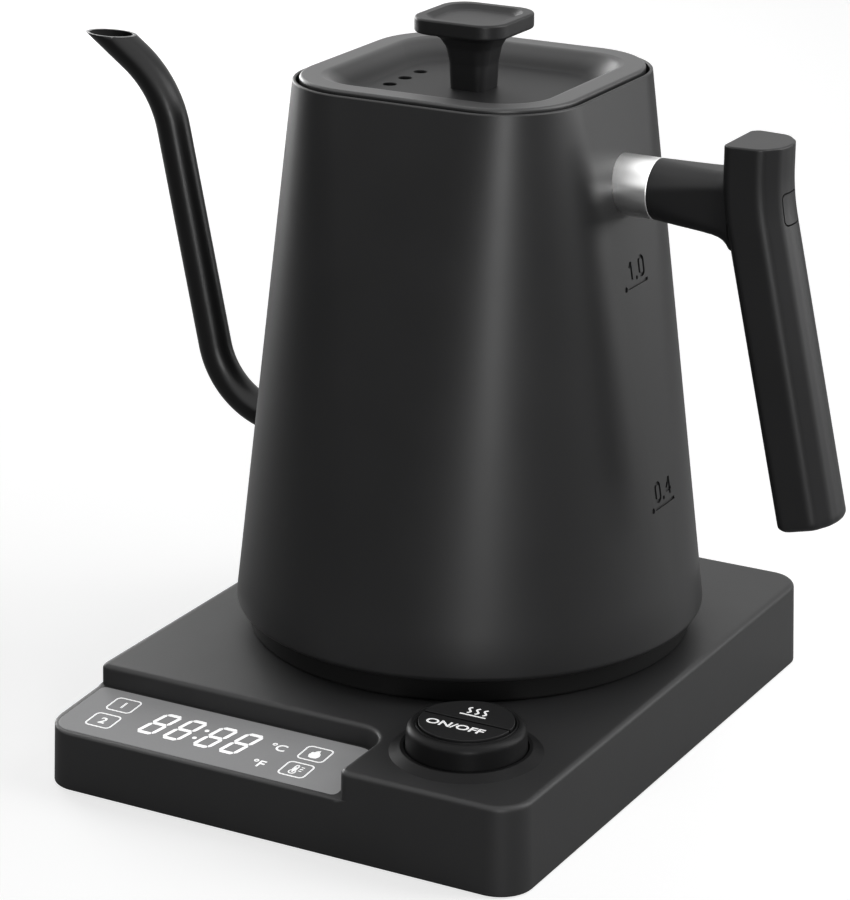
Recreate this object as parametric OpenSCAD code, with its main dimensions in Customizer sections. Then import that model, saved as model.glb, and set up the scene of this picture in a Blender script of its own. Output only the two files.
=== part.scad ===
// Gooseneck electric kettle on a rectangular powered base.
// Millimetres, +Z up. The origin lies on the resting surface, in the middle of the
// whole outline: the front of the base looks to -Y, the spout to -X, the handle to +X.

/* [Base] */
// Width of the base, side to side
base_w = 147; // [138:1:180]
// Depth of the base, front to back
base_d = 188; // [178:1:226]
// Height of the base's top face above the table
base_top = 25.4; // [22:0.2:32]
// Radius of the base's upright corners
base_corner = 9.5; // [5:0.5:12]
// How far the base's walls lean in from bottom to top
base_draft = 0.7; // [0:0.1:1.5]
// Rounding of the base's top edge
base_edge = 1.4; // [0.6:0.1:2]
// Wall of the plastic base housing
base_wall = 2.5; // [2:0.1:3]
// Thickness of the base's bottom cover
cover_t = 2.5; // [2:0.1:3]
// Height of the rubber feet under the bottom cover
foot_h = 0.4; // [0.2:0.1:2]
// Radius of each rubber foot
foot_r = 8; // [5:0.5:9]

/* [Display] */
// How far the display step reaches back from the front face
step_depth = 29; // [27:0.5:34]
// Right end of the display step, from the middle of the base
step_end = 20.5; // [16:0.5:21]
// How far the display step's front edge lies below the base's top face
step_drop = 8.2; // [5:0.1:9]
// Rise of the display step towards its back, in degrees
step_tilt = 4; // [0:0.5:6]
// Radius of the step's inner corner
step_corner = 9; // [5:0.5:12]
// Thickness of the display glass
glass_t = 1.3; // [1:0.1:1.6]
// Rim of bare plastic left around the glass
glass_rim = 1.5; // [1:0.1:3]
// Width of the display module under the glass
screen_w = 64; // [50:1:64]
// Depth of the display module under the glass
screen_d = 18; // [14:0.5:18]

/* [Dial] */
// Dial axis to the right of the middle of the base
dial_x = 44; // [38:0.5:45]
// Dial axis in front of the middle of the base
dial_front = 66; // [64:0.5:68]
// Radius of the turning ring
dial_r = 16.25; // [15:0.25:17]
// Height of the ring's top above the base
dial_h = 8.2; // [7:0.1:10]
// Outer radius of the fixed collar around the ring
collar_r = 20.5; // [19:0.5:21]
// Height of the collar
collar_h = 1.6; // [1:0.1:2.5]
// Radius of the two half-round buttons together
button_r = 12.8; // [11.5:0.1:13]
// Travel of each button
button_travel = 0.8; // [0.4:0.1:1]

/* [Kettle] */
// Radius of the body at its widest, near the bottom
body_r = 67; // [65:0.5:70]
// Gap between the body and the dial's collar, seen from above
body_gap = 7; // [4:0.1:10]
// Height of the widest circle above the base's top
body_lift = 9.6; // [8:0.1:12]
// Height of the body from its widest circle to the rim
body_h = 150.8; // [130:1:180]
// Half the width of the square rim
rim_half = 42.75; // [40:0.25:46]
// Corner radius of the rim
rim_corner = 24; // [20:1:27]
// Thickness of the steel body
body_wall = 1; // [0.8:0.1:1.4]
// Rounding under the widest circle
body_fillet = 2.5; // [1.5:0.1:3.5]
// How far the plastic skirt stands in from the body
skirt_inset = 3.5; // [3:0.5:6]
// Depth of the neck ring below the rim
deck_drop = 6.3; // [5.8:0.1:9]
// Radius of the filling mouth
mouth_r = 32; // [30.5:0.5:33]

/* [Lid] */
// Gap between lid and rim
lid_gap = 0.9; // [0.6:0.1:1.4]
// How far the lid's top stands above the rim
lid_rise = 1.1; // [0.5:0.1:2]
// Width of the flat ring around the dished middle
lid_ring = 7.4; // [5:0.1:9]
// Depth of the dished middle
dish_depth = 5.2; // [3:0.1:5.5]
// Thickness of the lid's sheet
lid_t = 1.1; // [0.8:0.1:1.3]
// Height of the lid knob above the lid's top
knob_h = 15.2; // [12:0.2:20]
// Width of the lid knob's square plate
knob_w = 27.8; // [24:0.2:32]
// Distance of the steam vents from the lid's middle
vent_x = 21.6; // [19:0.2:23]
// Distance between neighbouring vents
vent_pitch = 8.7; // [7:0.1:10]
// Radius of each vent
vent_r = 1.9; // [1.2:0.1:2.2]

/* [Spout] */
// Outer radius of the spout tube
spout_r = 4.85; // [4.2:0.05:5.5]
// Wall of the spout tube
spout_wall = 0.7; // [0.5:0.1:1]
// Height of the mouth's centre below the rim
tip_drop = 2.1; // [0:0.1:8]
// Distance of the mouth's centre from the kettle axis
tip_x = 119.5; // [112:0.1:124]
// Slope of the pouring tip above level
tip_slope = 36; // [30:1:45]
// Lean of the long leg away from upright
leg_lean = 11.5; // [9:0.5:13]
// Radius of the upper bend
upper_bend = 32; // [26:1:36]
// Height above the base's top at which the foot enters the body
foot_rise = 47.7; // [40:0.1:54]
// Straight length of the foot outside the body
foot_len = 10; // [6:0.25:12]
// Radius of the lower bend
lower_bend = 24; // [20:1:27]
// Slope of the foot where it enters the body
foot_slope = 20; // [14:1:26]

/* [Handle] */
// Height of the handle arm's axis below the rim
arm_drop = 25.5; // [23:0.5:30]
// Radius of the steel ferrule
ferrule_r = 8.4; // [7:0.1:9]
// End of the ferrule, from the kettle axis
ferrule_end = 56.6; // [54:0.1:60]
// Middle of the grip's upper part, from the kettle axis
grip_x = 86.7; // [82:0.1:92]
// Thickness of the grip, towards the body
grip_t = 15.5; // [14:0.5:18]
// Width of the grip across
grip_w = 21; // [18:0.5:26]
// Height of the grip's top above the arm's axis
grip_rise = 17; // [13:0.5:22]
// Length of the leaning part of the grip
grip_len = 91; // [75:1:94]
// Lean of that part away from upright
grip_lean = 12.4; // [8:0.2:14]
// Width of the bevels along the grip's outer corners
grip_bevel = 5.6; // [3:0.1:7]
// Side of the square plug that hides the handle bolt
plug_w = 8; // [7.4:0.1:10]

/* [Fits] */
// Gap between pieces that are laid or pressed in by hand
seat_gap = 0.1; // [0.05:0.05:0.2]
// Gap between pieces that move past each other
free_gap = 0.3; // [0.2:0.05:0.35]
// Radial gap of a piece that turns on another
run_gap = 0.06; // [0.03:0.01:0.1]

/* [Hidden] */
$fn = 64;

plastic = "#222222";
steel = "#c8c8c8";
board_green = "#2f6b3a";
cut = 0.5;

// Kettle levels
body_z = base_top + body_lift;
rim_z = body_z + body_h;
deck_z = rim_z - deck_drop;
lid_z = rim_z + lid_rise;
arm_z = rim_z - arm_drop;
wall_lean = atan((body_r - rim_half) / body_h);

// The outline's middle lies halfway between the spout's lip and the grip's outer foot
foot_round = 2;
spout_reach = tip_x + spout_r / sin(tip_slope);
handle_reach = grip_x + (grip_len - foot_round) * sin(grip_lean)
    + (grip_t / 2 - foot_round) * cos(grip_lean) + foot_round;
axis_x = (spout_reach - handle_reach) / 2;

// The kettle stands behind the dial, clear of its collar
kettle_back = sqrt(pow(body_r + body_gap + collar_r, 2) - pow(dial_x, 2)) - dial_front;

// Base interior
cavity_top = base_top - base_wall;
step_z = base_top - step_drop;
step_y = -base_d / 2 + step_depth;
top_x = base_w / 2 - base_draft;
top_y = base_d / 2 - base_draft;
inner_x = top_x - base_wall;
inner_y = top_y - base_wall;
inner_corner = base_corner - base_draft - base_wall;
boss_r = 4;
boss_gap = 1;
// A boss keeps its gap from the walls and from the rounded corner
boss_in = max(boss_r + boss_gap, inner_corner - (inner_corner - boss_r - boss_gap) / sqrt(2));
boss_x = inner_x - boss_in;
boss_y = inner_y - boss_in;
screw_r = 1.5;
screw_head_r = 3;
screw_head_h = 1.6;
screw_len = 9;
board_t = 1.6;
board_z = foot_h + cover_t + 5.2;
board_top = board_z + board_t;
standoff_r = 2.8;
board_margin = 6;
board_x0 = -boss_x + boss_r + 1;
board_x1 = boss_x - boss_r - 1;
board_y0 = -inner_y + 1.5;
board_y1 = board_y0 + 42;
supply_w = 62;
supply_d = 26;

// Cord inlet
gland_r = 6;
gland_bore = 3.4;
gland_len = 14;
gland_flange = 7.5;
gland_x = supply_w / 2 + gland_flange + 0.5;
gland_z = foot_h + cover_t + gland_flange + 1;

// Dial stack
dial_z = base_top + dial_h;
post_r = 11;
post_top = dial_z - 4.2;
ring_floor = post_top - 0.8;
sleeve_r = dial_r - 1.65;
encoder_h = 7;
chamber_r = 9.4;
stem_r = 2.4;
stem_offset = 5;
switch_h = 4.3;
switch_w = 6;
button_t = 2.4;
seam = 0.5;

// Connector
plug_r = 13.2;
plug_h = 6.4;
plug_base_r = 15;
plug_flange_r = 19;
plug_bottom = cavity_top - 5;
socket_r = 20;
supply_y = kettle_back + plug_flange_r + 4.8 + supply_d / 2;
socket_t = 1.6;
groove_depth = 4;
grooves = [5.4, 9.4];
groove_half = 1.1;
socket_roof = base_top + plug_h + free_gap;
kettle_floor = base_top + free_gap + 2.4;
kettle_floor_t = 1.8;

// Handle bolt
bolt_r = 2.5;
bolt_head_r = 3.4;
bolt_head_h = 3;
plug_depth = 2;
nut_r = 6.6;

// Spout
spout_sides = 28;
bend_parts = 9;

// Lid
lid_half = rim_half - body_wall - lid_gap;
lid_corner = rim_corner - body_wall - lid_gap;
dish_half = lid_half - lid_ring;
dish_z = lid_z - dish_depth;
liner_r = mouth_r - 2.4;
liner_depth = 11;
seal_h = 3;
neck_h = 9;

// ---- Shared shapes ----

// A rectangle with true round corners, centred
module round_rect(w, d, r) {
    square([w - 2 * r, d], center = true);
    square([w, d - 2 * r], center = true);
    for (x = [-1, 1], y = [-1, 1])
        translate([x * (w / 2 - r), y * (d / 2 - r)]) circle(r);
}

// A thin slice of that outline, for lofting
module slice(w, d, r, z, t = 0.01) {
    translate([0, 0, z]) linear_extrude(t) round_rect(w, d, r, $fn = 32);
}

// A slab with a rounded top edge
module soft_slab(w, d, r, z0, z1, edge) {
    hull() {
        slice(w, d, r, z0, z1 - edge - z0);
        for (a = [30:30:90]) {
            inset = edge * (1 - cos(a));
            slice(w - 2 * inset, d - 2 * inset, r - inset, z1 - edge * (1 - sin(a)) - 0.01);
        }
    }
}

// A hollow round bar
module ring(outer, inner, z0, z1) {
    translate([0, 0, z0]) difference() {
        cylinder(r = outer, h = z1 - z0);
        translate([0, 0, -cut]) cylinder(r = inner, h = z1 - z0 + 2 * cut);
    }
}

module bar(r, z0, z1) {
    translate([0, 0, z0]) cylinder(r = r, h = z1 - z0);
}

module at_base() { translate([axis_x, 0, 0]) children(); }
module at_kettle() { translate([axis_x, kettle_back, 0]) children(); }
module at_dial() { translate([axis_x + dial_x, -dial_front, 0]) children(); }
module at_corners(x, y) {
    for (i = [-1, 1], j = [-1, 1]) translate([i * x, j * y, 0]) children();
}
module at_gland() { translate([gland_x, 0, gland_z]) rotate([-90, 0, 0]) children(); }

// ---- Base ----

// Plan of the display step, open to the front and to the left
module step_plan(grow = 0, flare = 0) {
    x = step_end + grow;
    y = step_y + grow;
    r = step_corner + grow;
    translate([-base_w, -base_d]) square([base_w + x - r, base_d + y]);
    translate([-base_w, -base_d]) square([base_w + x, base_d + y - r]);
    translate([x - r, y - r]) circle(r);
    // The corner beside the front face rolls outwards
    if (flare > 0) translate([x - cut, -base_d / 2 - cut]) difference() {
        square([flare + cut, flare + cut]);
        translate([flare + cut, flare + cut]) circle(flare);
    }
}

// The step's floor rises from the front edge to the back
module on_step() {
    translate([0, -base_d / 2, step_z]) rotate([step_tilt, 0, 0])
        translate([0, base_d / 2, 0]) children();
}

// The space above the step's floor, grown sideways and downwards
module step_space(grow = 0, flare = 0) {
    intersection() {
        translate([0, 0, step_z - 2 * base_wall]) linear_extrude(base_top)
            step_plan(grow, flare);
        on_step() translate([-base_w, -base_d, -grow]) cube([2 * base_w, 2 * base_d, base_top]);
    }
}

// Outer form of the base, leaning in towards its rounded top edge
module base_form() {
    hull() {
        slice(base_w, base_d, base_corner, foot_h);
        for (a = [0:30:90]) {
            inset = base_draft + base_edge * (1 - cos(a));
            slice(base_w - 2 * inset, base_d - 2 * inset, base_corner - inset,
                base_top - base_edge * (1 - sin(a)) - 0.01);
        }
    }
}

module base_inside(gap = 0) {
    round_rect(2 * (inner_x - gap), 2 * (inner_y - gap), inner_corner);
}

// The glass keeps its distance from the front, the left and the step's inner walls
module glass_plan(gap = 0) {
    left = -top_x + glass_rim - gap;
    right = step_end - glass_rim + gap;
    front = -top_y + glass_rim - gap;
    back = step_y - glass_rim / 2 + gap;
    translate([(left + right) / 2, (front + back) / 2])
        round_rect(right - left, back - front, base_corner - base_draft - glass_rim + gap);
}

screen_x = (step_end - top_x) / 2;
screen_y = -inner_y + 2 + screen_d / 2;

module base_housing() {
    color(plastic) at_base() difference() {
        base_form();
        step_space(0, 3);
        on_step() translate([0, 0, seat_gap - glass_t]) linear_extrude(glass_t + cut)
            glass_plan(seat_gap);
        translate([screen_x, screen_y, board_top]) linear_extrude(base_top - board_top)
            square([screen_w + 2 * free_gap, screen_d + 2 * free_gap], center = true);
        difference() {
            translate([0, 0, foot_h - cut]) linear_extrude(cavity_top - foot_h + cut)
                base_inside();
            step_space(base_wall);
            at_corners(boss_x, boss_y) bar(boss_r, foot_h + cover_t, cavity_top + cut);
        }
        at_corners(boss_x, boss_y)
            bar(screw_r + seat_gap, foot_h, foot_h + screw_len + 1);
        translate([dial_x, -dial_front, 0]) bar(dial_r + free_gap, cavity_top - cut, base_top + cut);
        translate([0, kettle_back, 0]) bar(plug_base_r + seat_gap, cavity_top - cut, base_top + cut);
        at_gland() bar(gland_r + seat_gap, inner_y - cut, base_d / 2 + cut);
    }
}

module base_bottom_cover() {
    color(plastic) at_base() difference() {
        union() {
            translate([0, 0, foot_h]) linear_extrude(cover_t) base_inside(seat_gap);
            // Standoffs carry both boards, and a post carries the terminal block
            at_control_corners() bar(standoff_r, foot_h + cover_t - 0.01, board_z);
            at_supply_corners() bar(standoff_r, foot_h + cover_t - 0.01, board_z);
            translate([0, kettle_back, 0])
                ring(plug_flange_r, plug_flange_r - 3, foot_h + cover_t - 0.01, plug_bottom);
        }
        at_corners(boss_x, boss_y) {
            bar(screw_r + seat_gap, foot_h - cut, foot_h + cover_t + cut);
            bar(screw_head_r + seat_gap, foot_h - cut, foot_h + screw_head_h);
        }
        at_corners(base_w / 2 - 24, base_d / 2 - 12)
            bar(foot_r + seat_gap, foot_h - cut, foot_h + 1);
    }
}

module base_feet() {
    color("#111111") at_base() at_corners(base_w / 2 - 24, base_d / 2 - 12) {
        bar(foot_r, foot_h - 0.01, foot_h + 1);
        cylinder(r1 = foot_r - 0.6, r2 = foot_r, h = foot_h);
    }
}

module base_screws() {
    color(steel) at_base() at_corners(boss_x, boss_y) difference() {
        union() {
            bar(screw_head_r, foot_h + 0.1, foot_h + screw_head_h);
            bar(screw_r, foot_h + 0.1, foot_h + screw_len);
        }
        bar(1, foot_h, foot_h + 1);
    }
}

module display_glass() {
    color("#8a8a8a") at_base() on_step() translate([0, 0, seat_gap - glass_t])
        linear_extrude(glass_t) glass_plan();
}

module display_module() {
    color("#3a3a3a") at_base() difference() {
        translate([screen_x, screen_y, board_top]) linear_extrude(base_top - board_top)
            square([screen_w, screen_d], center = true);
        on_step() translate([-base_w, -base_d, -glass_t]) cube([2 * base_w, 2 * base_d, base_top]);
    }
}

module at_control_corners() {
    for (x = [board_x0 + board_margin, board_x1 - board_margin])
        for (y = [board_y0 + board_margin, board_y1 - board_margin])
            translate([x, y, 0]) children();
}

module at_supply_corners() {
    for (i = [-1, 1], j = [-1, 1])
        translate([i * (supply_w / 2 - 4), supply_y + j * (supply_d / 2 - 4), 0]) children();
}

module control_board() {
    color(board_green) at_base() translate([board_x0, board_y0, board_z])
        cube([board_x1 - board_x0, board_y1 - board_y0, board_t]);
}

module power_board() {
    color(board_green) at_base() translate([0, supply_y, board_z + board_t / 2])
        cube([supply_w, supply_d, board_t], center = true);
}

module relay() {
    relay_h = cavity_top - board_top - 1;
    color("#2a4a8a") at_base() translate([-14, supply_y, board_top + relay_h / 2])
        cube([19, 15.5, relay_h], center = true);
}

module terminal_block() {
    block_w = 16;
    block_d = 9;
    block_h = 8;
    color("#3d7a4a") at_base() translate([15, supply_y, board_top]) difference() {
        translate([-block_w / 2, -block_d / 2, 0]) cube([block_w, block_d, block_h]);
        for (x = [-5, 0, 5]) translate([x, 0, 4]) {
            rotate([-90, 0, 0]) cylinder(r = 1.6, h = block_d);
            cylinder(r = 1.4, h = block_h);
        }
    }
}

module cord_gland() {
    outside = top_y - 0.2;
    color("#111111") at_base() at_gland() difference() {
        union() {
            bar(gland_r, outside - gland_len, outside);
            bar(gland_flange, inner_y - 3, inner_y - seat_gap);
        }
        bar(gland_bore, outside - gland_len - cut, outside + cut);
    }
}

// ---- Dial and buttons ----

module dial_collar() {
    color(plastic) at_dial() difference() {
        translate([0, 0, base_top]) cylinder(r1 = collar_r, r2 = dial_r + 1.2, h = collar_h);
        bar(dial_r + free_gap, base_top - cut, base_top + collar_h + cut);
    }
}

module dial_post() {
    color(plastic) at_dial() difference() {
        bar(post_r, board_top, post_top);
        bar(chamber_r, board_top - cut, board_top + switch_h + 1.6);
        for (side = [-1, 1]) translate([0, side * stem_offset, 0])
            bar(stem_r + seat_gap, board_top, post_top + cut);
    }
}

module encoder_body() {
    color("#4a4a4a") at_dial() ring(sleeve_r, post_r + free_gap, board_top, board_top + encoder_h);
}

module tactile_switches() {
    color("#0c0c0c") at_dial() for (side = [-1, 1]) translate([0, side * stem_offset, board_top]) {
        translate([-switch_w / 2, -switch_w / 2, 0]) cube([switch_w, switch_w, switch_h - 0.8]);
        cylinder(r = 1.7, h = switch_h);
    }
}

// The ring turns on the fixed post and reaches down to the encoder
module dial_ring() {
    lean = 0.3;
    inner = post_r + run_gap;
    round = min(2.4, (dial_r - lean - inner) / 2);
    bore = button_r + free_gap;
    sleeve_z = board_top + encoder_h + free_gap;
    color("#1c1c1c") at_dial() rotate_extrude() difference() {
        union() {
            translate([inner, sleeve_z]) square([sleeve_r - inner, ring_floor - sleeve_z]);
            hull() {
                translate([inner, base_top + free_gap]) square([dial_r - inner, cut]);
                translate([inner, dial_z - cut]) square([cut, cut]);
                translate([dial_r - lean - round, dial_z - round]) circle(round);
            }
        }
        translate([0, ring_floor]) square([bore, dial_h]);
    }
}

// One half-round button with its stem; side is -1 for the front, 1 for the back
module half_button(side) {
    stem_z = board_top + switch_h + button_travel + seat_gap;
    cap_z = dial_z + 0.6;
    translate([0, 0, cap_z - button_t]) intersection() {
        union() {
            cylinder(r = button_r, h = button_t - 0.6);
            cylinder(r = button_r - 0.5, h = button_t);
        }
        translate([-button_r, side > 0 ? seam / 2 : -button_r - seam / 2, 0])
            cube([2 * button_r, button_r, button_t]);
    }
    translate([0, side * stem_offset, 0]) bar(stem_r, stem_z, cap_z - button_t + 0.5);
}

module warm_button() { color(plastic) at_dial() half_button(1); }
module power_button() { color(plastic) at_dial() half_button(-1); }

// ---- Power connector ----

module power_plug() {
    color(plastic) at_kettle() difference() {
        union() {
            bar(plug_flange_r, plug_bottom, cavity_top - seat_gap);
            bar(plug_base_r, plug_bottom, base_top + 0.2);
            bar(plug_r, base_top, base_top + plug_h - 0.8);
            translate([0, 0, base_top + plug_h - 0.8]) cylinder(r1 = plug_r, r2 = plug_r - 0.8, h = 0.8);
        }
        bar(2, base_top + plug_h - groove_depth, base_top + plug_h + cut);
        for (r = grooves)
            ring(r + groove_half, r - groove_half, base_top + plug_h - groove_depth,
                base_top + plug_h + cut);
    }
}

module plug_contacts() {
    z = base_top + plug_h - groove_depth;
    color("#c9a24a") at_kettle() {
        bar(1.7, z, z + 0.8);
        for (r = grooves) ring(r + groove_half - 0.2, r - groove_half + 0.2, z, z + 0.8);
    }
}

// Socket under the kettle; its skirt goes over the plug and its flange rests on the kettle's floor
module kettle_socket() {
    color("#2c2c2c") at_kettle() difference() {
        union() {
            bar(socket_r, base_top + free_gap + 1, socket_roof + socket_t);
            bar(socket_r + 2, kettle_floor + kettle_floor_t + free_gap, socket_roof + socket_t);
        }
        bar(plug_r + free_gap, base_top, socket_roof);
    }
}

module socket_contacts() {
    tip = base_top + plug_h - groove_depth + 0.8 + seat_gap;
    color("#c9a24a") at_kettle() {
        bar(1.2, tip, socket_roof);
        translate([grooves[0], 0, 0]) bar(0.7, tip, socket_roof);
        translate([0, grooves[1], 0]) bar(0.7, tip, socket_roof);
    }
}

// ---- Kettle ----

// Body form: a circle at the bottom drawn straight up to a rounded square; grow moves it sideways
module body_form(grow = 0, fillet = body_fillet) {
    hull() {
        translate([0, 0, body_z]) linear_extrude(0.01) circle(body_r + grow, $fn = 96);
        if (fillet > 0) for (a = [45, 90])
            translate([0, 0, body_z - fillet * sin(a)]) linear_extrude(0.01)
                circle(body_r + grow - fillet * (1 - cos(a)), $fn = 96);
        translate([0, 0, rim_z - 0.01]) linear_extrude(0.01)
            round_rect(2 * (rim_half + grow), 2 * (rim_half + grow), rim_corner + grow, $fn = 96);
    }
}

// Half width and corner radius of the body's section at a height
function body_half(z) = body_r + (rim_half - body_r) * (z - body_z) / body_h;
function body_corner(z) = body_r + (rim_corner - body_r) * (z - body_z) / body_h;

skirt_r = body_r - skirt_inset;
bottom_z = body_z - body_fillet;
plate_z = body_z + 5;
plate_t = 1.5;

module kettle_body() {
    color("#232323") at_kettle() difference() {
        body_form();
        body_form(-body_wall, 0);
        translate([0, 0, bottom_z - cut]) cylinder(r = skirt_r + seat_gap, h = body_fillet + 2 * cut);
        translate([0, 0, rim_z - 1]) linear_extrude(1 + cut)
            round_rect(2 * (rim_half - body_wall), 2 * (rim_half - body_wall), rim_corner - body_wall);
        spout_hole();
    }
}

// Plate inside the rim with the filling mouth and its short neck
module neck_ring() {
    w = 2 * (body_half(deck_z) - body_wall - seat_gap);
    color("#2a2a2a") at_kettle() difference() {
        union() {
            translate([0, 0, deck_z - 1]) linear_extrude(1)
                round_rect(w, w, body_corner(deck_z) - body_wall - seat_gap);
            bar(mouth_r + 1, deck_z - neck_h, deck_z - 0.5);
        }
        bar(mouth_r, deck_z - neck_h - cut, deck_z + cut);
    }
}

// Plastic skirt and floor under the body, standing on the base by its outer rim
module kettle_bottom_cover() {
    color(plastic) at_kettle() difference() {
        bar(skirt_r, base_top + free_gap, body_z - 0.4);
        bar(skirt_r - 2, kettle_floor + kettle_floor_t, body_z + cut);
        bar(skirt_r - 8, base_top, kettle_floor);
        bar(socket_r + run_gap, base_top, body_z);
    }
}

module heating_plate() {
    color("#b9b9b9") at_kettle()
        bar(body_half(plate_z + plate_t) - body_wall - seat_gap, plate_z, plate_z + plate_t);
}

// A heating tube bent to three quarters of a circle, its cold ends turned down
module heating_element() {
    coil_r = 42;
    tube_r = 3.2;
    color("#8c8c8c") at_kettle() translate([0, 0, plate_z - tube_r]) {
        rotate([0, 0, 45]) rotate_extrude(angle = 270) translate([coil_r, 0]) circle(tube_r);
        for (a = [45, 315]) rotate([0, 0, a]) translate([coil_r, 0, 0]) {
            sphere(tube_r);
            translate([0, 0, -4]) cylinder(r = 1.5, h = 4);
        }
    }
}

module temperature_sensor() {
    color(steel) at_kettle() translate([28, 0, 0]) {
        bar(4, plate_z - 3, plate_z);
        bar(2.5, plate_z - 6, plate_z - 2);
    }
}

// ---- Spout ----

// The centreline lies in the plane of the kettle axis. It is drawn from the mouth down: a straight
// tip, the upper bend, the long leg, the lower bend and a straight foot that enters the body.
// Angles are slopes below level; across() points to the upper right of a line of that slope.
function along(slope) = [cos(slope), -sin(slope)];
function across(slope) = [sin(slope), cos(slope)];

leg_slope = 90 - leg_lean;
tip = [-tip_x, rim_z - tip_drop];
foot_wall_z = base_top + foot_rise;
foot_wall = [-body_half(foot_wall_z), foot_wall_z];
foot_start = foot_wall - foot_len * along(foot_slope);
lower_c = foot_start + lower_bend * across(foot_slope);
leg_end = lower_c - lower_bend * across(leg_slope);
// The tip's straight length is what makes the upper bend meet the leg
bend_step = upper_bend * (across(leg_slope) - across(tip_slope));
tip_len = (leg_end - tip - bend_step) * across(leg_slope) / sin(leg_slope - tip_slope);
upper_start = tip + tip_len * along(tip_slope);
upper_c = upper_start - upper_bend * across(tip_slope);

// Places along the centreline with their slopes, from the upper bend down to the foot's inner end
spout_inside = body_wall + 0.8;
spout_places = concat(
    [for (k = [0:bend_parts]) let (s = tip_slope + (leg_slope - tip_slope) * k / bend_parts)
        [upper_c + upper_bend * across(s), s]],
    [for (k = [0:bend_parts]) let (s = leg_slope + (foot_slope - leg_slope) * k / bend_parts)
        [lower_c - lower_bend * across(s), s]],
    [[foot_wall + spout_inside * along(foot_slope), foot_slope]]);

// One ring of points around the centreline; the first ring is slid along the tip to lie level
function ring_at(place, r) = [for (k = [0:spout_sides - 1])
    let (a = 360 * k / spout_sides, p = place[0] + r * cos(a) * across(place[1])) [p[0], r * sin(a), p[1]]];
function mouth_ring(r) = [for (k = [0:spout_sides - 1]) let (a = 360 * k / spout_sides,
    p = tip + r * cos(a) * (across(tip_slope) + along(tip_slope) / tan(tip_slope))) [p[0], r * sin(a), p[1]]];
function tube_points(r) = concat(mouth_ring(r), [for (place = spout_places) each ring_at(place, r)]);

module spout() {
    rings = len(spout_places) + 1;
    n = spout_sides;
    inner = rings * n;
    last = (rings - 1) * n;
    walls = [for (i = [0:rings - 2], k = [0:n - 1]) let (a = i * n + k, b = i * n + (k + 1) % n)
        each [[a, b, b + n, a + n], [inner + a, inner + a + n, inner + b + n, inner + b]]];
    ends = [for (k = [0:n - 1]) let (a = k, b = (k + 1) % n)
        each [[a, inner + a, inner + b, b], [last + a, last + b, inner + last + b, inner + last + a]]];
    color("#232323") at_kettle() polyhedron(
        points = concat(tube_points(spout_r), tube_points(spout_r - spout_wall)),
        faces = concat(walls, ends), convexity = 6);
}

// The round hole that the spout's foot passes through
module spout_hole() {
    start = foot_wall - 3 * along(foot_slope);
    translate([start[0], 0, start[1]]) rotate([0, 90 + foot_slope, 0])
        cylinder(r = spout_r + seat_gap, h = body_wall + 6);
}

// ---- Handle ----

// Keeps only what lies outside the body's flat right-hand wall
module outside_wall(gap) {
    difference() {
        children();
        translate([body_r + gap, 0, body_z]) rotate([0, -wall_lean, 0])
            translate([-body_r, -body_r, -body_r]) cube([body_r, 2 * body_r, 3 * body_r + body_h]);
    }
}

module at_arm() { translate([0, 0, arm_z]) rotate([0, 90, 0]) children(); }

arm_wall = body_half(arm_z);
turn_z = arm_z + 2.4; // where the axes of the grip's two parts meet
grip_face = grip_x + grip_t / 2;
bolt_seat = grip_face - plug_depth - bolt_head_h - 1;

module handle_ferrule() {
    color(steel) at_kettle() outside_wall(0.02) at_arm() difference() {
        bar(ferrule_r, arm_wall - 4, ferrule_end);
        bar(nut_r + seat_gap, arm_wall - 5, ferrule_end + cut);
    }
}

module ferrule_nut() {
    color("#9a9a9a") at_kettle() outside_wall(0.02) at_arm() difference() {
        bar(nut_r, arm_wall - 4, ferrule_end - 0.4);
        bar(bolt_r + seat_gap, arm_wall + 2, ferrule_end + cut);
    }
}

// Half of the grip's section, from the middle of its bowed outer face round to the body's side:
// a bevel along the outer corner, a nearly flat side and a tighter inner corner
bow = 0.9; // how far the outer face falls back towards its sides
nip = 1.8; // bevel of the corners on the body's side
crease = 1.7; // reach of the rounding at each corner
grip_half = [[grip_t / 2, 0.08 * grip_w], [grip_t / 2 - bow, grip_w / 4],
    [grip_t / 2 - bow - 0.64 * grip_bevel, grip_w / 4 + 0.77 * grip_bevel],
    [nip - grip_t / 2, grip_w / 2], [-grip_t / 2, grip_w / 2 - nip]];
grip_corners = concat(grip_half, [for (k = [4:-1:0]) [grip_half[k][0], -grip_half[k][1]]]);

// Points that round off corner b between its neighbours a and c
function unit(v) = v / norm(v);
function softened(a, b, c) = let (r = min(crease, norm(a - b) / 2, norm(c - b) / 2) * 0.98,
    p = b + r * unit(a - b), q = b + r * unit(c - b))
    [for (t = [0, 0.35, 0.65, 1]) (1 - t) * (1 - t) * p + 2 * t * (1 - t) * b + t * t * q];
grip_outline = [for (k = [0:9])
    each softened(grip_corners[(k + 9) % 10], grip_corners[k], grip_corners[(k + 1) % 10])];

// The grip's section at a place in the plane of the kettle axis, turned to its lean
function grip_ring(x, z, lean, inset = 0) = [for (p = grip_outline)
    let (px = p[0] * (1 - 2 * inset / grip_t), py = p[1] * (1 - 2 * inset / grip_w))
        [x + px * cos(lean), py, z + px * sin(lean)]];

// A section of the leaning part, its length measured down from where both parts' axes meet
function leaning_ring(length, inset = 0) =
    grip_ring(grip_x + length * sin(grip_lean), turn_z - length * cos(grip_lean), grip_lean, inset);

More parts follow.
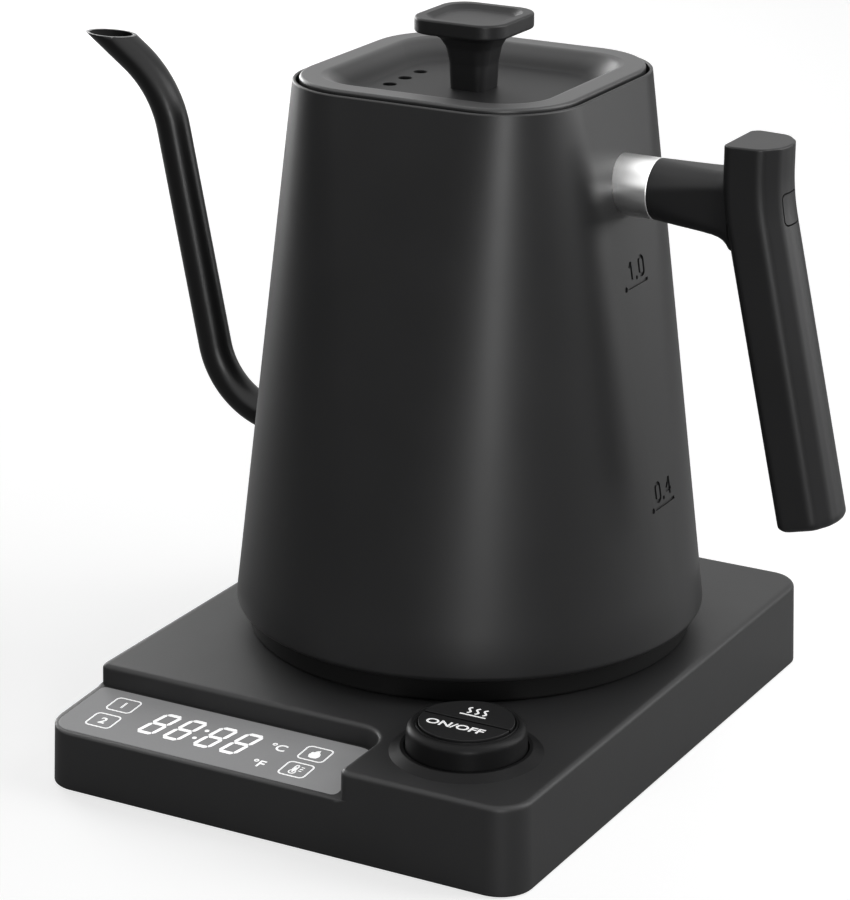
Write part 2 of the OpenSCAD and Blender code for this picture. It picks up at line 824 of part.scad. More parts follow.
// One lofted form: the upright upper part, the bend, the leaning part and the rounded foot
module grip_form() {
    turn_r = 70;
    turn = turn_r * tan(grip_lean / 2);
    top = arm_z + grip_rise;
    edge = 0.5;
    rings = concat(
        [grip_ring(grip_x, top, 0, edge), grip_ring(grip_x, top - 0.3 * edge, 0, 0.3 * edge),
            grip_ring(grip_x, top - edge, 0)],
        [for (k = [0:4]) let (a = grip_lean * k / 4) grip_ring(grip_x + turn_r * (1 - cos(a)),
            turn_z + turn - turn_r * sin(a), a)],
        [leaning_ring(grip_len - foot_round)],
        [for (a = [30:30:90]) leaning_ring(grip_len - foot_round * (1 - sin(a)), foot_round * (1 - cos(a)))]);
    n = len(grip_outline);
    last = (len(rings) - 1) * n;
    walls = [for (i = [0:len(rings) - 2], k = [0:n - 1]) let (a = i * n + k, b = i * n + (k + 1) % n)
        [a, b, b + n, a + n]];
    ends = [[for (k = [n - 1:-1:0]) k], [for (k = [0:n - 1]) last + k]];
    polyhedron(points = [for (r = rings) each r], faces = concat(walls, ends), convexity = 4);
}

// The arm widens from the ferrule's circle to a rounded rectangle that flares into the grip
module arm_form() {
    arm_end = grip_x - grip_t / 2;
    // Place along the arm, height, width, corner and drop of each section
    flare = [[arm_end - 4, 17.8, 15.2, 5, 0.7], [arm_end - 1, 19, 16, 5.2, 1],
        [arm_end + 3, 23, 18, 5.4, 2]];
    hull() {
        at_arm() translate([0, 0, ferrule_end + seat_gap]) linear_extrude(0.01) circle(ferrule_r, $fn = 64);
        arm_section(flare[0]);
    }
    for (k = [0, 1]) hull() {
        arm_section(flare[k]);
        arm_section(flare[k + 1]);
    }
}

module arm_section(s) {
    at_arm() translate([s[4], 0, s[0]]) linear_extrude(0.01) round_rect(s[1], s[2], s[3], $fn = 32);
}

module handle_grip() {
    color(plastic) at_kettle() difference() {
        union() {
            grip_form();
            arm_form();
        }
        at_arm() bar(bolt_r + seat_gap, ferrule_end - cut, grip_face);
        at_arm() bar(bolt_head_r + seat_gap, bolt_seat, grip_face + 3);
        translate([grip_face - plug_depth, -plug_w / 2 - seat_gap, arm_z - plug_w / 2 - seat_gap])
            cube([plug_depth + 3, plug_w + 2 * seat_gap, plug_w + 2 * seat_gap]);
    }
}

module handle_bolt() {
    color(steel) at_kettle() at_arm() difference() {
        union() {
            bar(bolt_r, arm_wall + 3, bolt_seat + 0.5);
            bar(bolt_head_r, bolt_seat + 0.02, bolt_seat + bolt_head_h);
        }
        bar(1.6, bolt_seat + 1.2, bolt_seat + bolt_head_h + cut);
    }
}

module bolt_plug() {
    color(plastic) at_kettle() intersection() {
        at_arm() translate([0, 0, grip_face - plug_depth + seat_gap])
            linear_extrude(2 * plug_depth) round_rect(plug_w, plug_w, 1.2);
        grip_form();
    }
}

// ---- Lid ----

// The dish in the lid, grown sideways and downwards for its lower side
module dish_form(grow = 0) {
    steps = [[1.1, 0.9], [dish_depth - 1.2, 3.6], [dish_depth - 0.3, 5.2], [dish_depth, 6.8]];
    hull() {
        dish_slice(grow, lid_z - grow, grow + cut);
        for (s = steps) dish_slice(grow - s[1], lid_z - s[0] - grow);
    }
}

// The dish's upper edge rolls out into the flat ring
module dish_edge() {
    roll = [[1.3, 0, cut], [0.1, 0.25, 0.01], [-0.9, 1.1, 0.01]];
    for (k = [0, 1]) hull() {
        dish_slice(roll[k][0], lid_z - roll[k][1], roll[k][2]);
        dish_slice(roll[k + 1][0], lid_z - roll[k + 1][1], roll[k + 1][2]);
    }
}

module dish_slice(out, z, t = 0.01) {
    slice(2 * (dish_half + out), 2 * (dish_half + out), lid_corner - lid_ring, z, t);
}

module vents(z0, z1) {
    for (i = [-1, 0, 1]) translate([-vent_x, i * vent_pitch, 0]) bar(vent_r, z0, z1);
}

module lid_cover() {
    skirt_z = deck_z + free_gap;
    color("#202020") at_kettle() difference() {
        soft_slab(2 * lid_half, 2 * lid_half, lid_corner, skirt_z, lid_z, 0.8);
        dish_form();
        dish_edge();
        difference() {
            translate([0, 0, skirt_z - cut]) linear_extrude(lid_z - lid_t - skirt_z + cut)
                round_rect(2 * (lid_half - lid_t), 2 * (lid_half - lid_t), lid_corner - lid_t);
            dish_form(lid_t);
        }
        vents(skirt_z, lid_z);
        bar(knob_screw_r + seat_gap, skirt_z, lid_z);
    }
}

knob_screw_r = 1.5;
liner_top = dish_z - lid_t - 0.02;

// Cup under the lid that reaches into the mouth and carries the seal
module lid_liner() {
    color("#2d2d2d") at_kettle() difference() {
        union() {
            bar(liner_r, liner_top - liner_depth, liner_top);
            bar(liner_r + 1.2, liner_top - liner_depth, liner_top - liner_depth + 1.5);
        }
        bar(liner_r - 1.8, liner_top - liner_depth - cut, liner_top - 2);
        vents(liner_top - 3, liner_top + cut);
        bar(knob_screw_r + seat_gap, liner_top - 3, liner_top + cut);
    }
}

module lid_seal() {
    z = liner_top - liner_depth + 1.5;
    color("#555555") at_kettle() difference() {
        union() {
            bar(liner_r + 1.2, z, z + seal_h);
            translate([0, 0, z + seal_h / 2]) rotate_extrude()
                translate([liner_r + 1.1, 0]) circle(mouth_r - free_gap - liner_r - 1.1);
        }
        bar(liner_r, z - cut, z + seal_h + cut);
    }
}

module lid_knob() {
    plate_h = 4.2;
    plate_corner = 7;
    edge = 0.7;
    knob_top = lid_z + knob_h;
    plate_low = knob_top - plate_h;
    // The stem's width and corner, and each section's distance below the plate
    stem = [[11.2, 3.2, plate_low - dish_z - 0.02], [11.8, 3.3, 9], [13.4, 3.8, 4.6],
        [16.4, 4.6, 2], [20.5, 5.6, 0.7]];
    color("#202020") at_kettle() difference() {
        union() {
            for (k = [0:len(stem) - 2]) hull() {
                stem_slice(stem[k], plate_low);
                stem_slice(stem[k + 1], plate_low);
            }
            hull() {
                stem_slice(stem[len(stem) - 1], plate_low);
                slice(knob_w - 2 * edge, knob_w - 2 * edge, plate_corner - edge, plate_low);
                slice(knob_w, knob_w, plate_corner, plate_low + edge, plate_h - 2 * edge);
                slice(knob_w - 2 * edge, knob_w - 2 * edge, plate_corner - edge, knob_top - 0.01);
            }
        }
        hull() {
            slice(knob_w - 5, knob_w - 5, 5, knob_top + 0.01);
            slice(knob_w - 8.8, knob_w - 8.8, 4, knob_top - 1.3);
        }
        bar(knob_screw_r + seat_gap, dish_z - cut, dish_z + 9);
    }
}

module stem_slice(s, z) { slice(s[0], s[0], s[1], z - s[2]); }

module lid_knob_screw() {
    color(steel) at_kettle() difference() {
        union() {
            bar(knob_screw_r, liner_top - 3, dish_z + 8);
            bar(3.2, liner_top - 4, liner_top - 2.02);
        }
        bar(1, liner_top - 4 - cut, liner_top - 3);
    }
}

base_housing();
base_bottom_cover();
base_feet();
base_screws();
display_glass();
display_module();
control_board();
power_board();
relay();
terminal_block();
cord_gland();
encoder_body();
dial_collar();
dial_post();
tactile_switches();
dial_ring();
warm_button();
power_button();
power_plug();
plug_contacts();
kettle_socket();
socket_contacts();
kettle_body();
neck_ring();
kettle_bottom_cover();
heating_plate();
heating_element();
temperature_sensor();
spout();
handle_ferrule();
ferrule_nut();
handle_grip();
handle_bolt();
bolt_plug();
lid_cover();
lid_liner();
lid_seal();
lid_knob();
lid_knob_screw();
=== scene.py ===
import math

import bmesh
import bpy
from mathutils import Matrix, Quaternion, Vector


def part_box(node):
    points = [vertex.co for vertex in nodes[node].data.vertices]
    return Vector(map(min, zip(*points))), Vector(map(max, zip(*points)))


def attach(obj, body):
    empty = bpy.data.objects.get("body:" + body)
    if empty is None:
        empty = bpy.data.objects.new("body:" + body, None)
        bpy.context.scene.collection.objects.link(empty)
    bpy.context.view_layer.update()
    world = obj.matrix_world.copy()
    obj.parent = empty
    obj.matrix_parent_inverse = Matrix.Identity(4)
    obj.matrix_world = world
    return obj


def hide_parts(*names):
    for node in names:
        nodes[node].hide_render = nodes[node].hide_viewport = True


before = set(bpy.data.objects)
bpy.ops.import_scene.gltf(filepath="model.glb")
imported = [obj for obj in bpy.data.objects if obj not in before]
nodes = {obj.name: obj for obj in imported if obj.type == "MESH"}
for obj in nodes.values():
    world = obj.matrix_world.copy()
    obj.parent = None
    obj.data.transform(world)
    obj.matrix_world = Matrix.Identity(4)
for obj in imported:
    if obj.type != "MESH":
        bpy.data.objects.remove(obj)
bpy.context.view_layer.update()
mm = 0.001
origin = Vector((0, 0, 0))


def middle(node):
    low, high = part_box(node)
    return (low + high) / 2 / mm


# The upright axes that everything is laid out from, in millimetres
baseAxis = Vector((middle("base_housing").x, 0, 0))
kettleAxis = Vector((middle("kettle_bottom_cover").x, middle("kettle_bottom_cover").y, 0))
dialAxis = Vector((middle("dial_ring").x, middle("dial_ring").y, 0))
print("frame loaded,", len(nodes), "nodes")

# ---- camera and lamps ----


def linked(name, data):
    thing = bpy.data.objects.new(name, data)
    bpy.context.scene.collection.objects.link(thing)
    return thing


camera = {"azimuth": 28.85, "elevation": 19.47, "distance": 0.933, "side": -0.0045,
          "height": 0.0814, "lens": 133.3, "roll": 0.22}


def makeCamera():
    a, e = math.radians(camera["azimuth"]), math.radians(camera["elevation"])
    right = Vector((math.cos(a), math.sin(a), 0))
    back = Vector((math.sin(a) * math.cos(e), -math.cos(a) * math.cos(e), math.sin(e)))
    target = baseAxis * mm + right * camera["side"] + Vector((0, 0, camera["height"]))
    data = bpy.data.cameras.new("camera")
    data.lens = camera["lens"]
    data.clip_start, data.clip_end = 0.05, 50
    eye = linked("camera", data)
    eye.location = target + back * camera["distance"]
    eye.rotation_mode = "QUATERNION"
    roll = Quaternion((0, 0, 1), math.radians(camera["roll"]))
    eye.rotation_quaternion = (-back).to_track_quat("-Z", "Y") @ roll
    bpy.context.scene.camera = eye


# Each soft lamp's place, the point it faces, its width, height and radiance
softboxes = {
    "overhead": ((-0.1, 0.75, 1.5), (0, 0, 0.1), 1.5, 1.1, 0.6),
    "rightBack": ((1.5, 0.9, 0.75), (0, 0, 0.12), 1.0, 1.2, 2.2),
    "rightLow": ((0.95, 0.95, 0.15), (0, 0, 0.05), 0.7, 0.28, 2.6),
    "floorRight": ((0.42, 0.1, 0.35), (0.18, 0.02, 0), 0.25, 0.5, 2.8),
    "cornerStrip": ((0.92, -1.45, 0.3), (0, 0, 0.12), 0.26, 0.55, 20.0),
    "leftBack": ((-1.0, 0.72, 0.48), (0, 0, 0.1), 0.55, 0.7, 3.2),
    "leftLow": ((-1.15, 0.55, 0.2), (0, 0, 0.1), 0.6, 0.4, 8.0),
}


def makeSoftboxes():
    for name, (spot, target, width, height, radiance) in softboxes.items():
        data = bpy.data.lights.new(name, "AREA")
        data.shape = "RECTANGLE"
        data.size, data.size_y = width, height
        data.energy = radiance * math.pi * width * height
        lamp = linked(name, data)
        lamp.location = spot
        lamp.rotation_mode = "QUATERNION"
        lamp.rotation_quaternion = (Vector(target) - Vector(spot)).to_track_quat("-Z", "Y")
        lamp.visible_camera = False


# ---- node graphs, for shaders and for Geometry Nodes ----


class Wire:
    # A socket that sums can be written with; each step adds a Math node
    def __init__(self, graph, socket):
        self.graph, self.socket = graph, socket

    def math(self, operation, other=0.0, flip=False):
        pair = [other, self] if flip else [self, other]
        return self.graph.add("ShaderNodeMath", {"operation": operation}, dict(enumerate(pair)))

    def __add__(self, other): return self.math("ADD", other)
    def __radd__(self, other): return self.math("ADD", other, True)
    def __sub__(self, other): return self.math("SUBTRACT", other)
    def __rsub__(self, other): return self.math("SUBTRACT", other, True)
    def __mul__(self, other): return self.math("MULTIPLY", other)
    def __rmul__(self, other): return self.math("MULTIPLY", other, True)
    def __truediv__(self, other): return self.math("DIVIDE", other)
    def __rtruediv__(self, other): return self.math("DIVIDE", other, True)


class Graph:
    def __init__(self, tree):
        self.tree = tree
        tree.nodes.clear()

    # Settings first, then the sockets: a value, a wire, or a list of wires for one socket
    def add(self, kind, settings=None, values=None, out=0):
        node = self.tree.nodes.new(kind)
        for key, value in (settings or {}).items():
            setattr(node, key, value)
        for key, value in (values or {}).items():
            wires = value if isinstance(value, list) else [value]
            if isinstance(wires[0], Wire):
                for wire in wires:
                    self.tree.links.new(wire.socket, node.inputs[key])
            else:
                node.inputs[key].default_value = value
        return Wire(self, node.outputs[out]) if len(node.outputs) else None


def newMaterial(name):
    material = bpy.data.materials.new(name)
    material.use_nodes = True
    return material, Graph(material.node_tree)


def closeMaterial(g, shader):
    g.add("ShaderNodeOutputMaterial", None, {"Surface": shader})


# ---- materials ----


# A new material with its graph and the object's own coordinates
def newFinish(name):
    material, g = newMaterial(name)
    return material, g, g.add("ShaderNodeTexCoord", None, None, 3)


def closeFinish(g, sockets):
    closeMaterial(g, g.add("ShaderNodeBsdfPrincipled", None, sockets))


def rgba(colour):
    return (*colour, 1.0)


def mixColour(g, factor, first, second):
    return g.add("ShaderNodeMix", {"data_type": "RGBA"}, {0: factor, 6: rgba(first), 7: rgba(second)}, 2)


def noise(g, spot, scale, detail):
    return g.add("ShaderNodeTexNoise", None, {"Vector": spot, "Scale": scale, "Detail": detail})


def bump(g, height, depth, strength):
    return g.add("ShaderNodeBump", None, {"Height": height, "Distance": depth, "Strength": strength})


# Runs smoothly from one value to another while its input goes from start to end
def fade(g, value, start, end, first, last):
    return g.add("ShaderNodeMapRange", {"interpolation_type": "SMOOTHSTEP"}, {
        "Value": value, "From Min": start, "From Max": end, "To Min": first, "To Max": last})


# Dark and light colour, roughness and its spread, the size of the surface's texture in metres,
# how far it stands out, and the specular level
finishes = {
    "coat": ((0.0105, 0.0105, 0.0109), (0.0145, 0.0145, 0.015), 0.4, 0.08, 0.00035, 0.000012, 0.42),
    "moulded": ((0.0165, 0.0165, 0.017), (0.0235, 0.0235, 0.024), 0.48, 0.08, 0.0005, 0.00002, 0.38),
    # the spout's black coat, darkened beyond the body's as painted shade
    "spoutBlackAndPaintedShade": ((0.0055, 0.0055, 0.0057), (0.008, 0.008, 0.0083), 0.34, 0.06, 0.00035, 0.00001, 0.3),
    # a paler finish for the spout's mouth rim: a painted highlight
    "paintedRimHighlight": ((0.2, 0.2, 0.2), (0.3, 0.3, 0.3), 0.35, 0.06, 0.00035, 0.00001, 0.6),
    "grip": ((0.0125, 0.0125, 0.0129), (0.0175, 0.0175, 0.0182), 0.4, 0.07, 0.0004, 0.000012, 0.28),
    # the dial's black, darkened further as painted shade
    "dialBlackAndPaintedShade": ((0.006, 0.006, 0.0062), (0.009, 0.009, 0.0093), 0.4, 0.06, 0.0003, 0.00001, 0.12),
    "button": ((0.008, 0.008, 0.0083), (0.012, 0.012, 0.0124), 0.5, 0.06, 0.0005, 0.00002, 0.2),
    "innerPlastic": ((0.02, 0.02, 0.021), (0.032, 0.032, 0.033), 0.55, 0.08, 0.0006, 0.00002, 0.4),
    # near-black painted shade, for the skirt under the kettle and the inside of the spout's bore
    "paintedShadeFinish": ((0.006, 0.006, 0.006), (0.009, 0.009, 0.009), 0.6, 0.06, 0.0005, 0.00002, 0.1),
    "lidCoat": ((0.013, 0.013, 0.0134), (0.018, 0.018, 0.0187), 0.5, 0.06, 0.00035, 0.000012, 0.08),
    "rubber": ((0.012, 0.012, 0.012), (0.02, 0.02, 0.02), 0.75, 0.1, 0.0007, 0.00003, 0.3),
    "silicone": ((0.07, 0.07, 0.07), (0.09, 0.09, 0.09), 0.55, 0.08, 0.0008, 0.00001, 0.4),
    "greenMask": ((0.01, 0.07, 0.025), (0.015, 0.1, 0.035), 0.35, 0.1, 0.0011, 0.00001, 0.5),
    "relayBlue": ((0.015, 0.04, 0.16), (0.02, 0.05, 0.2), 0.35, 0.08, 0.0007, 0.00001, 0.5),
    "terminalGreen": ((0.03, 0.17, 0.06), (0.04, 0.21, 0.08), 0.4, 0.08, 0.0007, 0.00001, 0.5),
}
# The lid's clear gloss thins out toward the bottom of its dish; heights in metres
lidGloss = {"heights": (0.1819, 0.1858), "weights": (0.3, 0.95), "rough": 0.4}


# Dull coats and mouldings: a fine grain, a cloudy sheen and slightly uneven colour
def grainedFinish(name):
    dark, light, rough, spread, grain, depth, level = finishes[name]
    material, g, spot = newFinish(name)
    cloud, speck = noise(g, spot, 38.0, 3.0), noise(g, spot, 1 / grain, 2.0)
    pits = g.add("ShaderNodeTexVoronoi", {"feature": "SMOOTH_F1"},
                 {"Vector": spot, "Scale": 0.6 / grain, "Smoothness": 0.6})
    sockets = {"Base Color": mixColour(g, cloud * 0.55 + speck * 0.45, dark, light),
               "Roughness": rough + (cloud - 0.5) * spread + (speck - 0.5) * (spread * 0.6),
               "Normal": bump(g, speck * 0.6 + pits * 0.4, depth, 0.8), "Specular IOR Level": level}
    if name == "lidCoat":
        height = g.add("ShaderNodeSeparateXYZ", None, {0: spot}, 2)
        sockets["Coat Weight"] = fade(g, height, *lidGloss["heights"], *lidGloss["weights"])
        sockets["Coat Roughness"] = lidGloss["rough"]
    closeFinish(g, sockets)
    return material


# Dark and light colour, roughness, the lines' scale along X, Y and Z, and how far they stand out
metals = {
    "turnedSteel": ((0.86, 0.86, 0.86), (0.97, 0.97, 0.96), 0.34, (5200.0, 60.0, 60.0), 0.000004),
    "platedSteel": ((0.42, 0.42, 0.43), (0.6, 0.6, 0.6), 0.34, (900.0, 900.0, 900.0), 0.000004),
    "heaterSteel": ((0.45, 0.45, 0.46), (0.62, 0.62, 0.62), 0.36, (1600.0, 90.0, 90.0), 0.000005),
    "brass": ((0.55, 0.38, 0.14), (0.75, 0.56, 0.26), 0.3, (700.0, 700.0, 700.0), 0.000003),
}


# Bare metals: fine lines that change colour, gloss and height together
def linedMetal(name):
    dark, light, rough, scales, depth = metals[name]
    material, g, spot = newFinish(name)
    stretched = g.add("ShaderNodeMapping", None, {"Vector": spot, "Scale": scales})
    lines, cloud = noise(g, stretched, 1.0, 4.0), noise(g, spot, 140.0, 2.0)
    closeFinish(g, {"Base Color": mixColour(g, lines * 0.7 + cloud * 0.3, dark, light),
                    "Roughness": rough + (lines - 0.5) * 0.16 + (cloud - 0.5) * 0.06,
                    "Normal": bump(g, lines, depth, 0.7), "Metallic": 1.0})
    return material


# glow is painted light: an emission that lightens the pane evenly
glass = {"dark": (0.15, 0.15, 0.152), "light": (0.18, 0.18, 0.182),
         "rough": 0.5, "glow": 0.98, "level": 0.08}


# Smoked display glass over grey print; faint smears show in its gloss, and its emission is a painted
# glow that lightens the pane evenly
def smokedGlass():
    material, g, spot = newFinish("smokedGlass")
    smear, dust = noise(g, spot, 60.0, 4.0), noise(g, spot, 1900.0, 1.0)
    colour = mixColour(g, smear * 0.7 + dust * 0.3, glass["dark"], glass["light"])
    closeFinish(g, {"Base Color": colour, "Roughness": glass["rough"] + (smear - 0.5) * 0.1,
                    "Specular IOR Level": glass["level"],
                    "Emission Color": colour, "Emission Strength": glass["glow"]})
    return material


# White print that glows; on the buttons' marks the glow is painted light, while the display's lit
# segments shine with their own light
def whitePrint(name, glow):
    material, g, spot = newFinish(name)
    grain = noise(g, spot, 1500.0, 2.0)
    colour = mixColour(g, grain, (0.8, 0.8, 0.8), (0.93, 0.93, 0.93))
    closeFinish(g, {"Base Color": colour, "Roughness": 0.45 + (grain - 0.5) * 0.1,
                    "Emission Color": colour, "Emission Strength": glow})
    return material


finish = {name: grainedFinish(name) for name in finishes}
finish.update({name: linedMetal(name) for name in metals})
finish["smokedGlass"] = smokedGlass()
# the buttons' print glows as painted light
finish["whitePrint"] = whitePrint("whitePrint", 0.55)
finish["litSegment"] = whitePrint("litSegment", 0.8)
print("materials made,", len(finish))

# ---- mesh helpers, in millimetres around an axis ----


def meshObject(name, bm):
    mesh = bpy.data.meshes.new(name)
    bm.to_mesh(mesh)
    bm.free()
    return linked(name, mesh)


def cleaned(bm, gap=2e-7):
    bmesh.ops.remove_doubles(bm, verts=bm.verts, dist=gap)
    bmesh.ops.dissolve_degenerate(bm, edges=bm.edges, dist=gap)
    bmesh.ops.recalc_face_normals(bm, faces=bm.faces)
    return bm


# Skins rings of equal length; wrap joins the last ring to the first
def loft(name, rings, axis=origin, wrap=False):
    bm = bmesh.new()
    rows = [[bm.verts.new((Vector(p) + axis) * mm) for p in ring] for ring in rings]
    count = len(rows[0])
    for low, high in list(zip(rows, rows[1:])) + ([(rows[-1], rows[0])] if wrap else []):
        for k in range(count):
            n = (k + 1) % count
            bm.faces.new((low[k], low[n], high[n], high[k]))
    if not wrap:
        bm.faces.new(reversed(rows[0]))
        bm.faces.new(rows[-1])
    return meshObject(name, cleaned(bm))


# Rounds the corners of a profile. Each corner is x, y and its radius; close points beside
# every arc keep the shading of the straight parts flat, and long stretches are split.
def softProfile(corners, closed=True, steps=4, longest=16.0):
    points, total = [], len(corners)
    for i, (x, y, radius) in enumerate(corners):
        here = Vector((x, y))
        if radius == 0 or (not closed and i in (0, total - 1)):
            points.append(here)
            continue
        back = Vector(corners[i - 1][:2]) - here
        ahead = Vector(corners[(i + 1) % total][:2]) - here
        u, v = back.normalized(), ahead.normalized()
        half = u.angle(v) / 2
        room = 0.49 * min(back.length, ahead.length)
        reach = min(radius / math.tan(half), room)
        centre = here + (u + v).normalized() * (reach / math.cos(half))
        start, end = here + u * reach - centre, here + v * reach - centre
        beside = min(reach * 1.35, room)
        arc = [start.slerp(end, k / steps).normalized() * start.length for k in range(steps + 1)]
        points += [here + u * beside] + [centre + spoke for spoke in arc] + [here + v * beside]
    split = []
    pairs = list(zip(points, points[1:] + points[:1]))
    for a, b in pairs if closed else pairs[:-1]:
        parts = max(1, math.ceil((b - a).length / longest))
        split += [a.lerp(b, k / parts) for k in range(parts)]
    return split if closed else split + [points[-1]]


# The point at a radius, a height and a share of the way round an axis along X, Y or Z
def around(radius, height, share, direction="Z"):
    c, s = radius * math.cos(2 * math.pi * share), radius * math.sin(2 * math.pi * share)
    return {"Z": (c, s, height), "X": (height, c, s), "Y": (s, height, c)}[direction]


# Turns a closed profile of radius and height around an axis
def revolve(name, profile, axis=origin, steps=144, direction="Z"):
    return loft(name, [[around(r, h, k / steps, direction) for r, h in profile] for k in range(steps)],
                axis, wrap=True)


def rod(name, radius, low, high, axis=origin, direction="Z", steps=96):
    rings = [[around(radius, h, k / steps, direction) for k in range(steps)] for h in (low, high)]
    return loft(name, rings, axis)


# Points of an outline whose corners are all square turns. Each corner is x, y and its radius,
# below nought for a corner that turns inwards; inset moves every side in and keeps the count.
def planPath(corners, inset=0.0, steps=12):
    points, total = [], len(corners)
    for i, (x, y, radius) in enumerate(corners):
        here = Vector((x, y))
        first = (here - Vector(corners[i - 1][:2])).normalized()
        second = (Vector(corners[(i + 1) % total][:2]) - here).normalized()
        n1, n2 = Vector((-first.y, first.x)), Vector((-second.y, second.x))
        turn = 1 if radius >= 0 else -1
        r = max(abs(radius) - turn * inset, 0.02)
        centre = here + (inset + turn * r) * (n1 + n2)
        for k in range(steps + 1):
            a = 0.5 * math.pi * k / steps
            points.append(centre - turn * r * (n1 * math.cos(a) + n2 * math.sin(a)))
    return points


def rectCorners(w, d, r, x=0.0, y=0.0):
    return [(x + i * w / 2, y + j * d / 2, r) for i, j in ((1, -1), (1, 1), (-1, 1), (-1, -1))]


def flat(points, z):
    return [(p[0], p[1], z) for p in points]


# How far in and how far below the top each step of a rounded edge lies
def edgeSteps(radius, steps=5):
    turns = [0.5 * math.pi * k / steps for k in range(steps + 1)]
    return [(radius * (1 - math.cos(a)), radius * (1 - math.sin(a))) for a in turns]


# The same with a step beside either end, which keeps the shading of the flat parts there
def edgeRows(radius, steps=5, below=1.5, within=1.6):
    if not radius:
        return [(0, 0)]
    return [(0, below * radius)] + edgeSteps(radius, steps) + [(within * radius, 0)]


# A block on an outline, given as a function of its inset, with a rounded top edge
def block(name, outline, low, high, axis=origin, edge=0.0):
    rings = [flat(outline(i), high - drop) for i, drop in edgeRows(edge, 5, 1.4, 1.4)]
    return loft(name, [flat(outline(0), low)] + rings, axis)


def applied(thing):
    bpy.context.view_layer.update()
    graph = bpy.context.evaluated_depsgraph_get()
    mesh = bpy.data.meshes.new_from_object(thing.evaluated_get(graph), depsgraph=graph)
    thing.modifiers.clear()
    thing.data = mesh
    return thing


def tidied(thing, gap=2e-7):
    bm = bmesh.new()
    bm.from_mesh(thing.data)
    cleaned(bm, gap).to_mesh(thing.data)
    bm.free()
    return thing


def changed(thing, tools, operation="DIFFERENCE"):
    for tool in tools:
        m = thing.modifiers.new("cut", "BOOLEAN")
        m.operation, m.solver, m.object = operation, "EXACT", tool
        applied(thing)
        bpy.data.objects.remove(tool)
    return thing


def joined(name, things):
    bm = bmesh.new()
    for thing in things:
        bm.from_mesh(thing.data)
        bpy.data.objects.remove(thing)
    return meshObject(name, bm)


def moved(thing, matrix):
    thing.data.transform(matrix)
    return thing


def shifted(thing, x, y, z):
    return moved(thing, Matrix.Translation(Vector((x, y, z)) * mm))


def placed(thing, spot, angle, direction):
    return moved(thing, Matrix.Translation(spot * mm) @ Matrix.Rotation(angle, 4, direction))


def box(name, low, high, axis=origin):
    plan = [(low[0], low[1]), (high[0], low[1]), (high[0], high[1]), (low[0], high[1])]
    return loft(name, [flat(plan, low[2]), flat(plan, high[2])], axis)


# Gives a finished mesh its material and says which body it rides on and what it stands for
def fitted(thing, body, material, replaced=()):
    mesh = thing.data
    mesh.materials.clear()
    mesh.materials.append(finish[material])
    mesh.polygons.foreach_set("material_index", [0] * len(mesh.polygons))
    mesh.polygons.foreach_set("use_smooth", [True] * len(mesh.polygons))
    mesh.set_sharp_from_angle(angle=math.radians(34))
    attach(thing, body)
    if replaced:
        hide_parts(*replaced)
    return thing


# ---- Geometry Nodes tools ----


def newTool(name, sizes):
    tree = bpy.data.node_groups.new(name, "GeometryNodeTree")
    tree.interface.new_socket("Geometry", in_out="OUTPUT", socket_type="NodeSocketGeometry")
    tree.interface.new_socket("Geometry", in_out="INPUT", socket_type="NodeSocketGeometry")
    for label, kind in {**sizes, "Material": "Material"}.items():
        tree.interface.new_socket(label, in_out="INPUT", socket_type="NodeSocket" + kind)
    g = Graph(tree)
    start = g.add("NodeGroupInput").socket.node
    return g, {socket.name: Wire(g, socket) for socket in start.outputs if socket.name}


def closeTool(g, shape, sizes):
    whole = g.add("GeometryNodeRealizeInstances", None, {0: shape})
    painted = g.add("GeometryNodeSetMaterial", None, {"Geometry": whole, "Material": sizes["Material"]})
    g.add("NodeGroupOutput", None, {"Geometry": painted})
    return g.tree


def shaped(tool, thing, material, values):
    m = thing.modifiers.new(tool.name, "NODES")
    m.node_group = tool
    for item in tool.interface.items_tree:
        if item.in_out == "INPUT" and item.name in values:
            m[item.identifier] = values[item.name]
        elif item.in_out == "INPUT" and item.name == "Material":
            m[item.identifier] = finish[material]
    return tidied(applied(thing))


